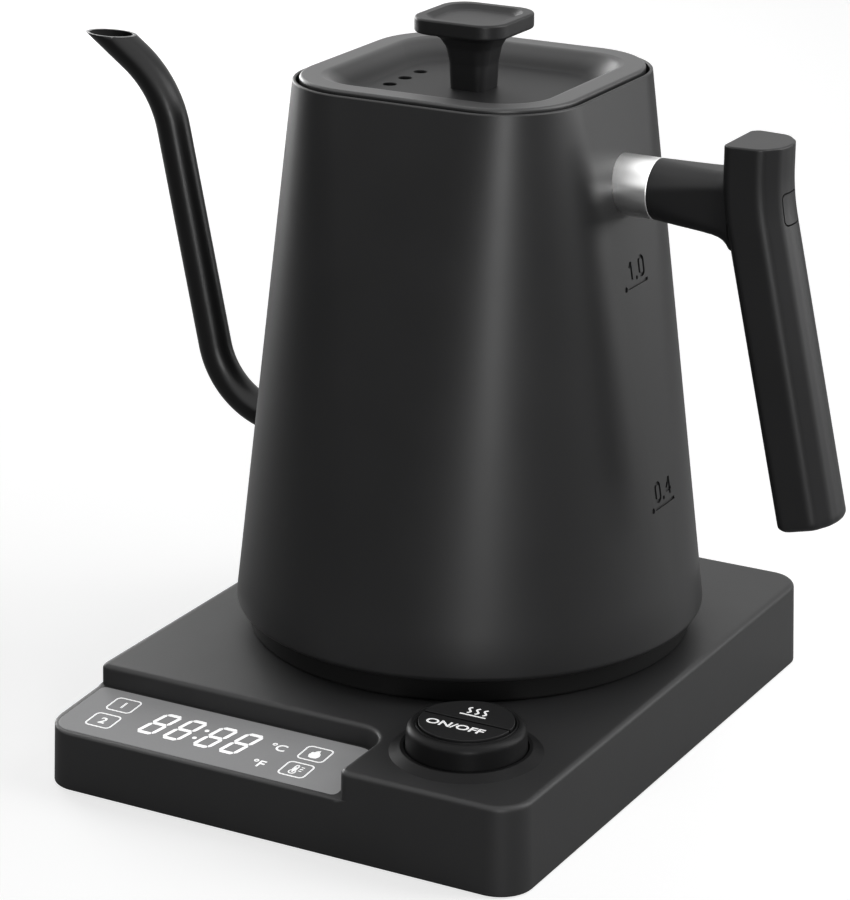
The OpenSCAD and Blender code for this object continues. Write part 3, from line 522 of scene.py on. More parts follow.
# Skins a stack of rounded squares. Each vertex of the mesh it is given is one of them:
# X is half its width, Y its corner radius and Z its height, in millimetres.
def squareTool():
    g, size = newTool("squareStack", {"Corner Steps": "Int", "Axis": "Vector"})
    rows = g.add("GeometryNodeAttributeDomainSize", {"component": "MESH"}, {0: size["Geometry"]})
    corner = size["Corner Steps"] + 1
    grid = g.add("GeometryNodeMeshGrid", None, {"Vertices X": corner * 4 + 1, "Vertices Y": rows})
    index = g.add("GeometryNodeInputIndex")
    column = ((index + 0.5) / rows).math("FLOOR")
    section = g.add("GeometryNodeSampleIndex", {"data_type": "FLOAT_VECTOR", "domain": "POINT"}, {
        "Geometry": size["Geometry"], "Value": g.add("GeometryNodeInputPosition"),
        "Index": index - column * rows})
    half, radius, height = (g.add("ShaderNodeSeparateXYZ", None, {0: section}, k) for k in range(3))
    around = column.math("MODULO", corner * 4)
    quarter = ((around + 0.5) / corner).math("FLOOR")
    angle = (quarter + (around - quarter * corner) / size["Corner Steps"]) * (math.pi / 2)
    side = (quarter + 0.5) * (math.pi / 2)
    centre = half - radius
    x = centre * side.math("COSINE").math("SIGN") + radius * angle.math("COSINE")
    y = centre * side.math("SINE").math("SIGN") + radius * angle.math("SINE")
    point = g.add("ShaderNodeCombineXYZ", None, {0: x, 1: y, 2: height})
    onAxis = g.add("ShaderNodeVectorMath", {"operation": "ADD"}, {0: point, 1: size["Axis"]})
    metres = g.add("ShaderNodeVectorMath", {"operation": "SCALE"}, {0: onAxis, "Scale": mm})
    skin = g.add("GeometryNodeSetPosition", None, {"Geometry": grid, "Position": metres})
    merged = g.add("GeometryNodeMergeByDistance", None, {"Geometry": skin, "Distance": 2e-7})
    return closeTool(g, merged, size)


# Repeats what it is given along a straight row
def rowTool():
    g, size = newTool("evenRow", {"Count": "Int", "Pitch": "Vector"})
    spots = g.add("GeometryNodeMeshLine", {"mode": "OFFSET"},
                  {"Count": size["Count"], "Offset": size["Pitch"]})
    copies = g.add("GeometryNodeInstanceOnPoints", None, {"Points": spots, "Instance": size["Geometry"]})
    return closeTool(g, copies, size)


# A bent tube along the line it is given, open at both ends and cut level at its mouth
def tubeTool():
    g, size = newTool("levelMouthTube", {"Outer Radius": "Float", "Wall": "Float", "Sides": "Int",
                                         "Mouth Level": "Float", "Past The End": "Float"})
    line = g.add("GeometryNodeMeshToCurve", None, {0: size["Geometry"]})
    length = g.add("GeometryNodeCurveLength", None, {0: line})
    short = g.add("GeometryNodeTrimCurve", {"mode": "LENGTH"},
                  {"Curve": line, 4: 0.0, 5: length - size["Past The End"]})
    solid = []
    for path, radius in ((short, size["Outer Radius"]), (line, size["Outer Radius"] - size["Wall"])):
        circle = g.add("GeometryNodeCurvePrimitiveCircle", {"mode": "RADIUS"},
                       {"Resolution": size["Sides"], "Radius": radius})
        solid.append(g.add("GeometryNodeCurveToMesh", None,
                           {"Curve": path, "Profile Curve": circle, "Fill Caps": True}))
    block = g.add("GeometryNodeMeshCube", None, {"Size": (0.4, 0.4, 0.1)})
    lift = g.add("ShaderNodeCombineXYZ", None, {2: size["Mouth Level"] + 0.05})
    above = g.add("GeometryNodeTransform", None, {"Geometry": block, "Translation": lift})
    tube = g.add("GeometryNodeMeshBoolean", {"operation": "DIFFERENCE", "solver": "EXACT"},
                 {"Mesh 1": solid[0], "Mesh 2": [solid[1], above]})
    return closeTool(g, tube, size)


squareStack, evenRow, levelMouthTube = squareTool(), rowTool(), tubeTool()


# Sections for squareStack from a profile of half width and height; cornerOf gives each corner radius
def stacked(name, profile, cornerOf, axis, material, closed=False, steps=28):
    bm = bmesh.new()
    for half, z in profile + (profile[:1] if closed else []):
        bm.verts.new((half, min(half, max(0.0, cornerOf(half, z))), z))
    return shaped(squareStack, meshObject(name, bm), material, {"Corner Steps": steps, "Axis": axis})


# ---- floor and world ----

# Behind, ahead and above: where a glow starts and ends, and its strength at either place
studio = {"floorHalf": 9, "floorGrey": 0.5, "floorGlow": 0.72, "behind": (-0.45, 0.45, 0.04, 0.85),
          "ahead": (-0.1, 0.3, 1.0, 0.0), "above": (0.08, 0.38, 0.0, 1.7), "fill": 0.07}


def makeFloor():
    bm = bmesh.new()
    bmesh.ops.create_grid(bm, x_segments=1, y_segments=1, size=studio["floorHalf"])
    floor = meshObject("floor", bm)
    material, g = newMaterial("paleFloor")
    seen = g.add("ShaderNodeLightPath", None, None, 0)
    matt = g.add("ShaderNodeBsdfDiffuse", None, {"Color": rgba([studio["floorGrey"]] * 3)})
    glow = g.add("ShaderNodeEmission", None,
                 {"Color": (1, 1, 1, 1), "Strength": seen * studio["floorGlow"]})
    closeMaterial(g, g.add("ShaderNodeAddShader", None, {0: matt, 1: glow}))
    floor.data.materials.append(material)


# White to the camera; what surfaces mirror of it is white behind the object and dim in front
def makeWorld():
    world = bpy.data.worlds.new("studio")
    bpy.context.scene.world = world
    world.use_nodes = True
    g = Graph(world.node_tree)
    seen, mirrored, through = (g.add("ShaderNodeLightPath", None, None, k) for k in (0, 3, 6))
    direction = g.add("ShaderNodeTexCoord", None, None, 0)
    depth, height = (g.add("ShaderNodeSeparateXYZ", None, {0: direction}, k) for k in (1, 2))
    behind, ahead = (fade(g, depth, *studio[k]) for k in ("behind", "ahead"))
    above = fade(g, height, *studio["above"])
    clear = (seen + through).math("MINIMUM", 1.0)
    glow = mirrored * (behind + above * ahead) + (1 - mirrored) * studio["fill"]
    strength = clear + (1 - clear) * glow
    background = g.add("ShaderNodeBackground", None, {"Color": (1, 1, 1, 1), "Strength": strength})
    g.add("ShaderNodeOutputWorld", None, {"Surface": background})


makeCamera()
makeSoftboxes()
makeFloor()
makeWorld()
bpy.context.scene.view_settings.view_transform = "Standard"
print("stage set")

# ---- the base ----

housing = {"width": 147, "depth": 188, "low": 0.4, "top": 25.4, "corner": 9.5, "draft": 0.7, "edge": 1.4,
           "bottomEdge": 0.5, "wall": 2.5, "stepX": 20.5, "stepY": -65, "stepFront": 17.2, "tilt": 4,
           "slopeEnd": -60, "stepCorner": 9, "endCorner": 2.2, "flare": 3, "slabEdge": 0.6, "ramp": 1.2,
           "bossX": 64.92, "bossY": 85.42, "boss": 4, "screw": 1.6, "screwDeep": 10.4,
           "window": ((-58.45, -89.1, 9), (6.15, -70.5, 24)), "dialHole": 16.55, "plugHole": 15.1,
           "gland": 6.1, "glandSpot": (39, 0, 11.4)}
sideSteps = 12


# Height of the step's sloping floor at a place
def stepZ(y):
    h, front = housing, -housing["depth"] / 2
    rise = math.tan(math.radians(h["tilt"]))
    return h["stepFront"] + (min(max(y, front), h["slopeEnd"]) - front) * rise


# Lays a shape that was drawn flat onto that floor
def onStep(thing):
    front = Vector((0, -housing["depth"] / 2, 0))
    spot = baseAxis + front + Vector((0, 0, housing["stepFront"]))
    tilt = Matrix.Rotation(math.radians(housing["tilt"]), 4, "X")
    return moved(thing, Matrix.Translation(spot * mm) @ tilt @ Matrix.Translation(-front * mm))


# The outer walls lean in from bottom to top; what lies well inside the outline stays
def drafted(x, y, z):
    h = housing
    lean = h["draft"] * (z - h["low"]) / (h["top"] - h["low"])
    return [v - math.copysign(lean * min(1.0, max(0.0, (abs(v) - half + 14) / 10)), v)
            for v, half in ((x, h["width"] / 2), (y, h["depth"] / 2))]


# Outline of the part that stands full height; outer and inner are the walls left around and within it
def upperPath(outer, inner, inset=0.0):
    h, r = housing, housing["corner"] - outer
    w, d = h["width"] / 2 - outer, h["depth"] / 2 - outer
    points = planPath([(w, -d, r), (w, d, r), (-w, d, r),
                       (-w, h["stepY"] + inner, max(h["endCorner"] - inner, 0.3)),
                       (h["stepX"] + inner, h["stepY"] + inner, -h["stepCorner"] - inner),
                       (h["stepX"] + inner, -d, max(h["flare"] - inner, 0.3))], inset, sideSteps)
    # a point beside each end of the step keeps the shading of its rounded edges there
    turn = 3 * (sideSteps + 1)
    before, after = points[-1] + Vector((2, 0)), points[turn] + Vector((0, 2))
    return [before] + points[:turn] + [after] + points[turn:]


# The slab under the step and the part above it share their outline at the right and the back,
# so the rounded edge of the step's floor fades out where the two meet
def housingShell(name, outer, inner, low, top, edge=0.0, slabEdge=0.0, bottomEdge=0.0):
    upper = upperPath(outer, inner)
    count = 3 * (sideSteps + 1) + 2
    shared, start, end = upper[:count], upper[count], upper[-1]
    w, d = housing["width"] / 2 - outer, housing["depth"] / 2 - outer
    r = housing["corner"] - outer
    corner = planPath([(-w, -d, r), (w, -d, r), (w, d, r), (-w, d, r)], 0, sideSteps)[:sideSteps + 1]
    # the free edge runs from the end of the step's wall round the front left corner to the flare
    clear, ramp = Vector((0, -housing["endCorner"])), Vector((0, -housing["ramp"]))
    free = [start, start + clear, start + clear + ramp] + corner
    clear, ramp = Vector((-housing["flare"], 0)), Vector((-housing["ramp"], 0))
    free += [end + clear + ramp, end + clear, end]
    lean = [0.0, 0.0, 1.0] + [1.0] * len(corner) + [1.0, 0.0, 0.0]
    turns = [0.5 * math.pi * min(max(k / sideSteps, 0), 1) for k in range(-3, sideSteps + 4)]
    inward = [Vector((math.cos(a), math.sin(a))) for a in turns]
    bm = bmesh.new()

    def point(p, z):
        x, y = (p[0], p[1]) if outer else drafted(p[0], p[1], z)
        return bm.verts.new((Vector((x, y, z)) + baseAxis) * mm)

    def onFloor(p, drop=0.0):
        return point(p, stepZ(p[1]) - inner - drop)

    def skin(rows):
        for lower, higher in zip(rows, rows[1:]):
            for k in range(len(lower)):
                n = (k + 1) % len(lower)
                bm.faces.new((lower[k], lower[n], higher[n], higher[k]))

    # moves a point of the outline inwards, square to it
    def inset(p, i):
        q = Vector((max(-w + r, min(w - r, p.x)), max(-d + r, min(d - r, p.y))))
        away = p - q
        return q + away * ((r - i) / away.length) if i and away.length > 0.01 else p

    outline = shared + free
    bottomRows = reversed(edgeRows(bottomEdge, 3, 1.6)[:-1]) if bottomEdge else [(0, 0)]
    rows = [[point(inset(p, i), low + drop) for p in outline] for i, drop in bottomRows]
    if slabEdge:
        # keeps the shading of the rounded edge off the wall below it
        rows.append([onFloor(p, 1.5 * slabEdge + 0.3) for p in outline])
    rows.append([onFloor(p, 1.5 * slabEdge * k) for p, k in zip(outline, [0] * len(shared) + lean)])
    for i, drop in edgeSteps(slabEdge, 3) if slabEdge else [(0, 0)]:
        rows.append([onFloor(p) for p in shared] +
                    [onFloor(p + n * i * k, drop * k) for p, k, n in zip(free, lean, inward)])
    skin(rows)
    bm.faces.new(reversed(rows[0]))
    floorEdge = rows[-1][len(shared):]
    walls = [[onFloor(p) for p in upper]]
    walls += [[point(p, top - drop) for p in upperPath(outer, inner, i)] for i, drop in edgeRows(edge)]
    skin(walls)
    bm.faces.new(walls[-1])
    # the step's floor lies between the free edge and the foot of the step's wall
    bm.faces.new(floorEdge + list(reversed(walls[0][len(shared):]))[1:-1])
    bmesh.ops.remove_doubles(bm, verts=bm.verts, dist=2e-6)
    return meshObject(name, cleaned(bm))


def makeHousing():
    h = housing
    low, top, wall, back = h["low"], h["top"], h["wall"], h["depth"] / 2
    shell = housingShell("baseHousing", 0, 0, low, top, h["edge"], h["slabEdge"], h["bottomEdge"])
    hollow = housingShell("hollow", wall + h["draft"], wall, low - 1, top - wall)
    corners = [baseAxis + Vector((i * h["bossX"], j * h["bossY"], 0)) for i in (-1, 1) for j in (-1, 1)]
    changed(hollow, [rod("boss", h["boss"], low + wall, 30, spot, steps=48) for spot in corners])
    pocket = onStep(block("pocket", lambda i: planPath(glassPlan(0.1), i), display["low"], wall))
    holes = [rod("screwBore", h["screw"], 0, h["screwDeep"], spot, steps=32) for spot in corners]
    glandSpot = baseAxis + Vector(h["glandSpot"])
    holes += [rod("dialHole", h["dialHole"], 20, 27, dialAxis),
              rod("plugHole", h["plugHole"], 20, 27, kettleAxis),
              rod("glandHole", h["gland"], back - 5, back + 2, glandSpot, "Y", 64)]
    changed(shell, [hollow, pocket, box("window", *h["window"], baseAxis)] + holes)
    return fitted(tidied(shell), "base", "moulded", ["base_housing"])


# Heights are above the step's floor
display = {"left": -71.3, "right": 19, "front": -91.8, "back": -65.75, "corners": (6.0, 1.8, 7.3, 1.8),
           "low": -1.2, "top": 0.1, "edge": 0.25}


# The pane's corners; the pocket is a little smaller, so that the pane sits tight in it
def glassPlan(tight=0.0):
    left, right = display["left"] + tight, display["right"] - tight
    front, back = display["front"] + tight, display["back"] - tight
    spots = ((left, front), (right, front), (right, back), (left, back))
    return [(x, y, r + tight) for (x, y), r in zip(spots, display["corners"])]


def makeGlass():
    pane = block("displayGlass", lambda i: planPath(glassPlan(), i), display["low"], display["top"],
                 edge=display["edge"])
    return fitted(onStep(pane), "base", "smokedGlass", ["display_glass"])


# Printed marks are thin raised strokes that stand a little proud of the glass
ink = {"span": (0.03, 0.14), "width": 0.42}


def stroke(path, width=ink["width"], closed=False, span=ink["span"]):
    low, high = span
    points = [Vector(p) for p in path]
    rings = []
    for k, p in enumerate(points):
        before = points[k - 1] if closed or k else p
        after = points[(k + 1) % len(points)] if closed or k < len(points) - 1 else p
        u = (p - before).normalized() if (p - before).length else Vector((0, 0))
        v = (after - p).normalized() if (after - p).length else Vector((0, 0))
        along = (u + v).normalized()
        side = Vector((-along.y, along.x)) * width / 2 / max(0.5, along.dot(v if v.length else u))
        rings.append([(*(p - side), low), (*(p + side), low), (*(p + side), high), (*(p - side), high)])
    return loft("stroke", rings, wrap=closed)


def disc(x, y, radius, span=ink["span"]):
    return rod("dot", radius, *span, Vector((x, y, 0)), steps=32)


def plate(name, outline):
    return loft(name, [flat(outline, z) for z in ink["span"]])


def lettering(text, height, x, y, bold, wide=1.0, span=ink["span"]):
    curve = bpy.data.curves.new("lettering", "FONT")
    curve.body, curve.align_x, curve.align_y = text, "CENTER", "CENTER"
    curve.size, curve.extrude, curve.resolution_u = 1.0, 0.5, 6
    curve.offset = bold
    maker = linked("letteringMaker", curve)
    bpy.context.view_layer.update()
    mesh = bpy.data.meshes.new_from_object(maker.evaluated_get(bpy.context.evaluated_depsgraph_get()))
    bpy.data.objects.remove(maker)
    xs, ys = [v.co.x for v in mesh.vertices], [v.co.y for v in mesh.vertices]
    scale = height / (max(ys) - min(ys))
    centre = Vector(((max(xs) + min(xs)) / 2, (max(ys) + min(ys)) / 2, -0.5))
    for v in mesh.vertices:
        p = v.co - centre
        v.co = (p.x * scale * wide + x, p.y * scale + y, span[0] + p.z * (span[1] - span[0]))
    return moved(tidied(linked("lettering", mesh), 1e-4), Matrix.Scale(mm, 4))


digits = {"x": -48.6, "y": -84.7, "width": 6.0, "height": 12.9, "pitch": 8.2, "gap": 1.6, "bar": 1.45,
          "clear": 0.16, "lean": 0.19, "dot": 0.65, "dotShift": 0.3, "dotHeights": (0.3, 0.68)}


# One seven-segment figure, all of its bars lit
def makeDigits():
    d = digits
    w, h, b = d["width"], d["height"], d["bar"]
    bars = [((0, 0), (w, 0)), ((0, h / 2), (w, h / 2)), ((0, h), (w, h)),
            ((0, 0), (0, h / 2)), ((0, h / 2), (0, h)), ((w, 0), (w, h / 2)), ((w, h / 2), (w, h))]
    segments = []
    for (x0, y0), (x1, y1) in bars:
        a, e = Vector((x0, y0)), Vector((x1, y1))
        along = (e - a).normalized()
        side = Vector((-along.y, along.x)) * b / 2
        point, cut = along * d["clear"], along * (d["clear"] + b / 2)
        outline = [a + point, a + cut - side, e - cut - side, e - point, e - cut + side, a + cut + side]
        segments.append(plate("segment", [(p.x * (w - b) / w + b / 2 + p.y * d["lean"],
                                           p.y * (h - b) / h + b / 2) for p in outline]))
    eight = joined("displayDigits", segments)
    pairs = []
    for start in (0, 2 * d["pitch"] + d["gap"]):
        pair = shaped(evenRow, linked("pair", eight.data.copy()), "litSegment",
                      {"Count": 2, "Pitch": (d["pitch"] * mm, 0, 0)})
        pairs.append(shifted(pair, d["x"] + start, d["y"], 0))
    bpy.data.objects.remove(eight)
    middleX = d["x"] + 2 * d["pitch"] - (d["pitch"] - w) / 2 + d["gap"] / 2 + d["dotShift"]
    dots = [disc(middleX + d["lean"] * h * k, d["y"] + h * k, d["dot"]) for k in d["dotHeights"]]
    return fitted(onStep(joined("displayDigits", pairs + dots)), "base", "litSegment")


# Where the units and the four small boxes stand
signs = {"°C": (-8, -75.6), "°F": (-8.3, -85.5), "1": (-59.4, -73.2), "2": (-59.6, -83.1),
         "flame": (3.0, -74.7), "heat": (2.7, -84.3)}
flame = [(0, -2.3), (1.2, -2.0), (1.7, -0.9), (1.4, 0.3), (0.7, 1.1), (0.5, 2.2), (-0.4, 1.5),
         (-0.8, 0.7), (-1.3, 0.9), (-1.7, -0.6), (-1.2, -2.0)]
bulb = {"radius": 0.95, "y": -1.35, "open": 32}
stem = [(0.5, 1.6), (0.3, 2.1), (0, 2.2), (-0.3, 2.1), (-0.5, 1.6)]
signInk = {"unit": 3.6, "number": 3.2, "bold": 0.012, "box": (7.8, 7.2, 1.3), "bulb": 0.34, "core": 0.5,
           "tick": 0.3}


# Units, two numbered boxes, one with a flame and one with a thermometer
def makeMarks():
    marks, m = [], signInk
    for name, (x, y) in signs.items():
        unit = name[0] == "°"
        if len(name) < 3:
            marks.append(lettering(name, m["unit" if unit else "number"], x, y, m["bold"]))
        if not unit:
            marks.append(stroke(planPath(rectCorners(*m["box"], x, y), 0, 5), closed=True))
    x, y = signs["flame"]
    marks.append(plate("flame", [(x + u, y + v) for u, v in flame]))
    x, y = signs["heat"][0] - 0.5, signs["heat"][1]
    turns = [math.radians(90 + bulb["open"] + (360 - 2 * bulb["open"]) * k / 12) for k in range(13)]
    ball = [(bulb["radius"] * math.cos(a), bulb["y"] + bulb["radius"] * math.sin(a)) for a in turns]
    marks.append(stroke([(x + u, y + v) for u, v in ball + stem], m["bulb"], True))
    marks.append(stroke([(x, y - 1.5), (x, y + 1)], m["core"]))
    marks += [stroke([(x + 1.3, y + 1.6 - k), (x + 2.3, y + 1.6 - k)], m["tick"]) for k in range(3)]
    return fitted(onStep(joined("displayMarks", marks)), "base", "litSegment")


makeHousing()
makeGlass()
makeDigits()
makeMarks()
print("base and display made")

# ---- dial, ring and buttons ----

dial = {"outer": 16.25, "foot": 25.7, "top": 33.6, "round": 2.4, "lean": 0.3, "bore": 13.1,
        "shelf": 28.6, "sleeve": 11.06, "sleeveOut": 14.6, "sleeveLow": 17.0,
        "groove": 13.62, "grooveDrop": 0.25, "lip": 13.5, "lipRise": 0.05,
        "collar": 20.5, "collarLip": 17.6, "collarTop": 27.0,
        "capRadius": 12.75, "capTop": 34.2, "capBottom": 31.8, "seam": 0.42, "capEdge": 0.2,
        "stem": 2.4, "stemY": 5, "stemLow": 14.9}


def makeCollar():
    d, low, hole = dial, housing["top"], housing["dialHole"]
    shape = softProfile([(hole, low, 0), (d["collar"], low, 0), (d["collarLip"], d["collarTop"], 0.5),
                         (hole, d["collarTop"], 0.2)])
    # the collar's finish is darker than the base's moulding as painted shade
    return fitted(revolve("dialCollar", shape, dialAxis), "base", "dialBlackAndPaintedShade",
                  ["dial_collar"])


# A broad shoulder falls away from the thin lip around the buttons, with a fine groove between
def makeRing():
    d, r = dial, dial["round"]
    x, y = d["outer"] - d["lean"] - r, d["top"] - r
    shoulder = [(x + r * math.cos(a), y + r * math.sin(a), 0)
                for a in (math.radians(turn) for turn in range(0, 88, 8))]
    foot, low, lipTop, shelf = d["foot"], d["sleeveLow"], d["top"] + d["lipRise"], d["shelf"]
    shape = softProfile(
        [(d["sleeve"], low, 0), (d["sleeveOut"], low, 0), (d["sleeveOut"], foot, 0),
         (d["outer"], foot, 0.2)] + shoulder +
        [(d["groove"], d["top"] - d["grooveDrop"], 0), (d["lip"], lipTop, 0.06),
         (d["bore"], lipTop, 0.12), (d["bore"], shelf, 0), (d["sleeve"], shelf, 0)])
    # the ring's black is darkened further as painted shade
    return fitted(revolve("dialRing", shape, dialAxis), "dial", "dialBlackAndPaintedShade", ["dial_ring"])


def halfDisc(inset, side):
    r, steps = dial["capRadius"] - inset, 40
    start = math.asin((dial["seam"] + inset) / r)
    arc = [start + (math.pi - 2 * start) * k / steps for k in range(steps + 1)]
    return [(r * math.cos(a), side * r * math.sin(a)) for a in arc]


def makeButton(name, side, node):
    d = dial
    cap = block(name, lambda i: halfDisc(i, side), d["capBottom"], d["capTop"], dialAxis, d["capEdge"])
    stem = rod("stem", d["stem"], d["stemLow"], d["capBottom"] + 0.5,
               dialAxis + Vector((0, side * d["stemY"], 0)), steps=48)
    changed(cap, [stem], "UNION")
    return fitted(tidied(cap), node, "button", [node])


buttonInk = {"span": (-0.03, 0.05), "words": (3.0, -0.9, -4.7, 0.018, 1.15), "width": 0.55,
             "waves": (-2.3, 0, 2.3), "sway": 0.6, "waveY": 4.4, "waveTall": 3.6, "lineX": 3.8,
             "lineY": 3.3}


# Words on the front half, a plain heat sign on the back half
def makeButtonMarks():
    m = buttonInk
    span = [dial["capTop"] + z for z in m["span"]]
    words = lettering("ON/OFF", *m["words"], span)
    words.name = "powerWords"
    paths = [[(x + m["sway"] * math.sin(2 * math.pi * k / 14), m["waveY"] + m["waveTall"] * k / 14)
              for k in range(15)] for x in m["waves"]]
    paths.append([(-m["lineX"], m["lineY"]), (m["lineX"], m["lineY"])])
    waves = [stroke(path, m["width"], False, span) for path in paths]
    for mark, button in ((words, "power_button"), (joined("warmSign", waves), "warm_button")):
        fitted(shifted(mark, dialAxis.x, dialAxis.y, 0), button, "whitePrint")


makeCollar()
makeRing()
makeButton("powerButton", -1, "power_button")
makeButton("warmButton", 1, "warm_button")
makeButtonMarks()
print("dial and buttons made")

# ---- the kettle body ----

body = {"lowZ": 35.0, "rimZ": 185.8, "lowHalf": 67, "rimHalf": 42.75, "lowCorner": 67, "rimCorner": 24,
        "wall": 1.0, "fillet": 2.5, "skirt": 63.6}
wallLean = math.atan((body["lowHalf"] - body["rimHalf"]) / (body["rimZ"] - body["lowZ"]))


# A size that goes evenly from its value at the bottom to its value at the rim
def bodySize(name, z):
    share = (z - body["lowZ"]) / (body["rimZ"] - body["lowZ"])
    return body["low" + name] + (body["rim" + name] - body["low" + name]) * share


def bodyHalf(z):
    return bodySize("Half", z)


def bodyCorner(half, z):
    return bodySize("Corner", z) - (bodyHalf(z) - half)


# Places a shape drawn flat on the kettle's right-hand wall: its X runs along +Y, its Y up the wall
def onWall(z):
    c, s = math.cos(wallLean), math.sin(wallLean)
    spot = (kettleAxis + Vector((bodyHalf(z), 0, z))) * mm
    return Matrix(((0, -s, c, spot.x), (1, 0, 0, spot.y), (0, c, s, spot.z), (0, 0, 0, 1)))


# Level marks pressed into the wall: a height, its figures, and the strokes of every figure
levels = {136.4: "1.0", 74.4: "0.4"}
levelInk = {"span": (-0.55, 1.5), "width": 1.0, "line": 0.9, "lineX": 6, "lineY": -3.4, "dotX": -7.4,
            "dot": 0.8, "lift": 0.9, "places": (-3.6, -0.4, 2.9), "zero": (2.7, 5, 1.1),
            "point": (-2.5, 0.6)}
figures = {"1": [[(0.4, -2.5), (0.4, 2.5)], [(-0.9, 1.125), (0.2, 2.4)]],
           "4": [[(0.7, -2.5), (0.7, 2.5)], [(0.6, 2.5), (-1.4, -0.75)], [(-1.5, -1), (1.6, -1)]]}


def figure(mark, x):
    width, span = levelInk["width"], levelInk["span"]
    if mark == "0":
        return [stroke(planPath(rectCorners(*levelInk["zero"], x), 0, 5), width, True, span)]
    if mark == ".":
        return [disc(x, *levelInk["point"], span)]
    return [stroke([(x + u, v) for u, v in path], width, False, span) for path in figures[mark]]


def levelMark(z, text):
    m = levelInk
    parts = [stroke([(-m["lineX"], m["lineY"]), (m["lineX"], m["lineY"])], m["line"], False, m["span"]),
             disc(m["dotX"], m["lineY"], m["dot"], m["span"])]
    for mark, x in zip(text, m["places"]):
        parts += [shifted(part, 0, m["lift"], 0) for part in figure(mark, x)]
    return [moved(part, onWall(z)) for part in parts]


spout = {"radius": 4.85, "wall": 0.7, "tip": (-119.5, 183.7), "tipSlope": 36, "legSlope": 78.5,
         "footSlope": 20, "upperBend": 32, "lowerBend": 24, "footWallZ": 73.1, "footLength": 10,
         "inside": 1.8, "pastEnd": 2, "lip": 0.24, "paintedShadeAbove": 150}


def along(slope):
    a = math.radians(slope)
    return Vector((math.cos(a), -math.sin(a)))


def across(slope):
    a = math.radians(slope)
    return Vector((math.sin(a), math.cos(a)))


def makeBody():
    b, s = body, spout
    wall, low = b["wall"], b["lowZ"] - b["fillet"]
    profile = softProfile([
        (b["skirt"], low, 0.2), (bodyHalf(low), low, b["fillet"]), (b["rimHalf"], b["rimZ"], 0.45),
        (b["rimHalf"] - wall, b["rimZ"], 0.4), (b["lowHalf"] - wall, b["lowZ"], 0),
        (b["skirt"], b["lowZ"], 0)], longest=12)
    shell = stacked("kettleBody", profile, bodyCorner, kettleAxis, "coat", closed=True, steps=36)
    hole = rod("spoutHole", s["radius"] + 0.1, -4, 8, origin, "X", 64)
    wallPoint = kettleAxis + Vector((-bodyHalf(s["footWallZ"]), 0, s["footWallZ"]))
    placed(hole, wallPoint, math.radians(s["footSlope"]), "Y")
    changed(shell, [hole] + [part for z, text in levels.items() for part in levelMark(z, text)])
    return fitted(tidied(shell), "kettle", "coat", ["kettle_body"])


def bend(centre, radius, start, end, steps):
    return [centre + radius * across(start + (end - start) * k / steps) for k in range(steps + 1)]


# The centreline from above the mouth down to the foot's inner end, as in the model's own drawing
def spoutLine():
    s = spout
    tip, wallPoint = Vector(s["tip"]), Vector((-bodyHalf(s["footWallZ"]), s["footWallZ"]))
    tipSlope, legSlope, footSlope = s["tipSlope"], s["legSlope"], s["footSlope"]
    lowerCentre = wallPoint - s["footLength"] * along(footSlope) + s["lowerBend"] * across(footSlope)
    legEnd = lowerCentre - s["lowerBend"] * across(legSlope)
    reach = legEnd - tip - s["upperBend"] * (across(legSlope) - across(tipSlope))
    tipLength = reach.dot(across(legSlope)) / math.sin(math.radians(legSlope - tipSlope))
    upperCentre = tip + tipLength * along(tipSlope) - s["upperBend"] * across(tipSlope)
    points = [tip + n * along(tipSlope) for n in (-14, -1, 3)]
    points += bend(upperCentre, s["upperBend"], tipSlope, legSlope, 24)
    points += [points[-1].lerp(legEnd, k / 6) for k in range(1, 6)]
    points += bend(lowerCentre, -s["lowerBend"], legSlope, footSlope, 32)
    return points + [wallPoint + (s["inside"] + n) * along(footSlope) for n in (0, s["pastEnd"])]


def makeSpout():
    s = spout
    spots = [(Vector((p.x, 0, p.y)) + kettleAxis) * mm for p in spoutLine()]
    bm = bmesh.new()
    line = [bm.verts.new(spot) for spot in spots]
    for a, b in zip(line, line[1:]):
        bm.edges.new((a, b))
    mouth = s["tip"][1] * mm
    # the spout's coat is the body's black darkened further as painted shade
    tube = shaped(levelMouthTube, meshObject("spout", bm), "spoutBlackAndPaintedShade", {
        "Outer Radius": s["radius"] * mm, "Wall": s["wall"] * mm, "Sides": 56,
        "Mouth Level": mouth, "Past The End": s["pastEnd"] * mm})
    lip = tube.modifiers.new("lip", "BEVEL")
    lip.width, lip.segments = s["lip"] * mm, 2
    lip.limit_method, lip.angle_limit = "ANGLE", math.radians(30)
    tube = fitted(tidied(applied(tube)), "kettle", "spoutBlackAndPaintedShade", ["spout"])
    # the mouth's rim gets a paler finish, a painted highlight; the bore's inner faces near the top get
    # near-black painted shade
    tube.data.materials.append(finish["paintedRimHighlight"])
    tube.data.materials.append(finish["paintedShadeFinish"])
    for face in tube.data.polygons:
        nearest = min(spots, key=lambda spot: (spot - face.center).length)
        if face.normal.z > 0.25 and face.center.z > mouth - 0.3 * mm:
            face.material_index = 1
        elif face.center.z > s["paintedShadeAbove"] * mm and face.normal.dot(nearest - face.center) > 0:
            face.material_index = 2
    return tube


skirt = {"outer": 63.5, "low": 25.7, "top": 34.6, "floor": 28.1, "floorTop": 29.9, "socket": 20.06,
         "rim": 8, "wall": 2}


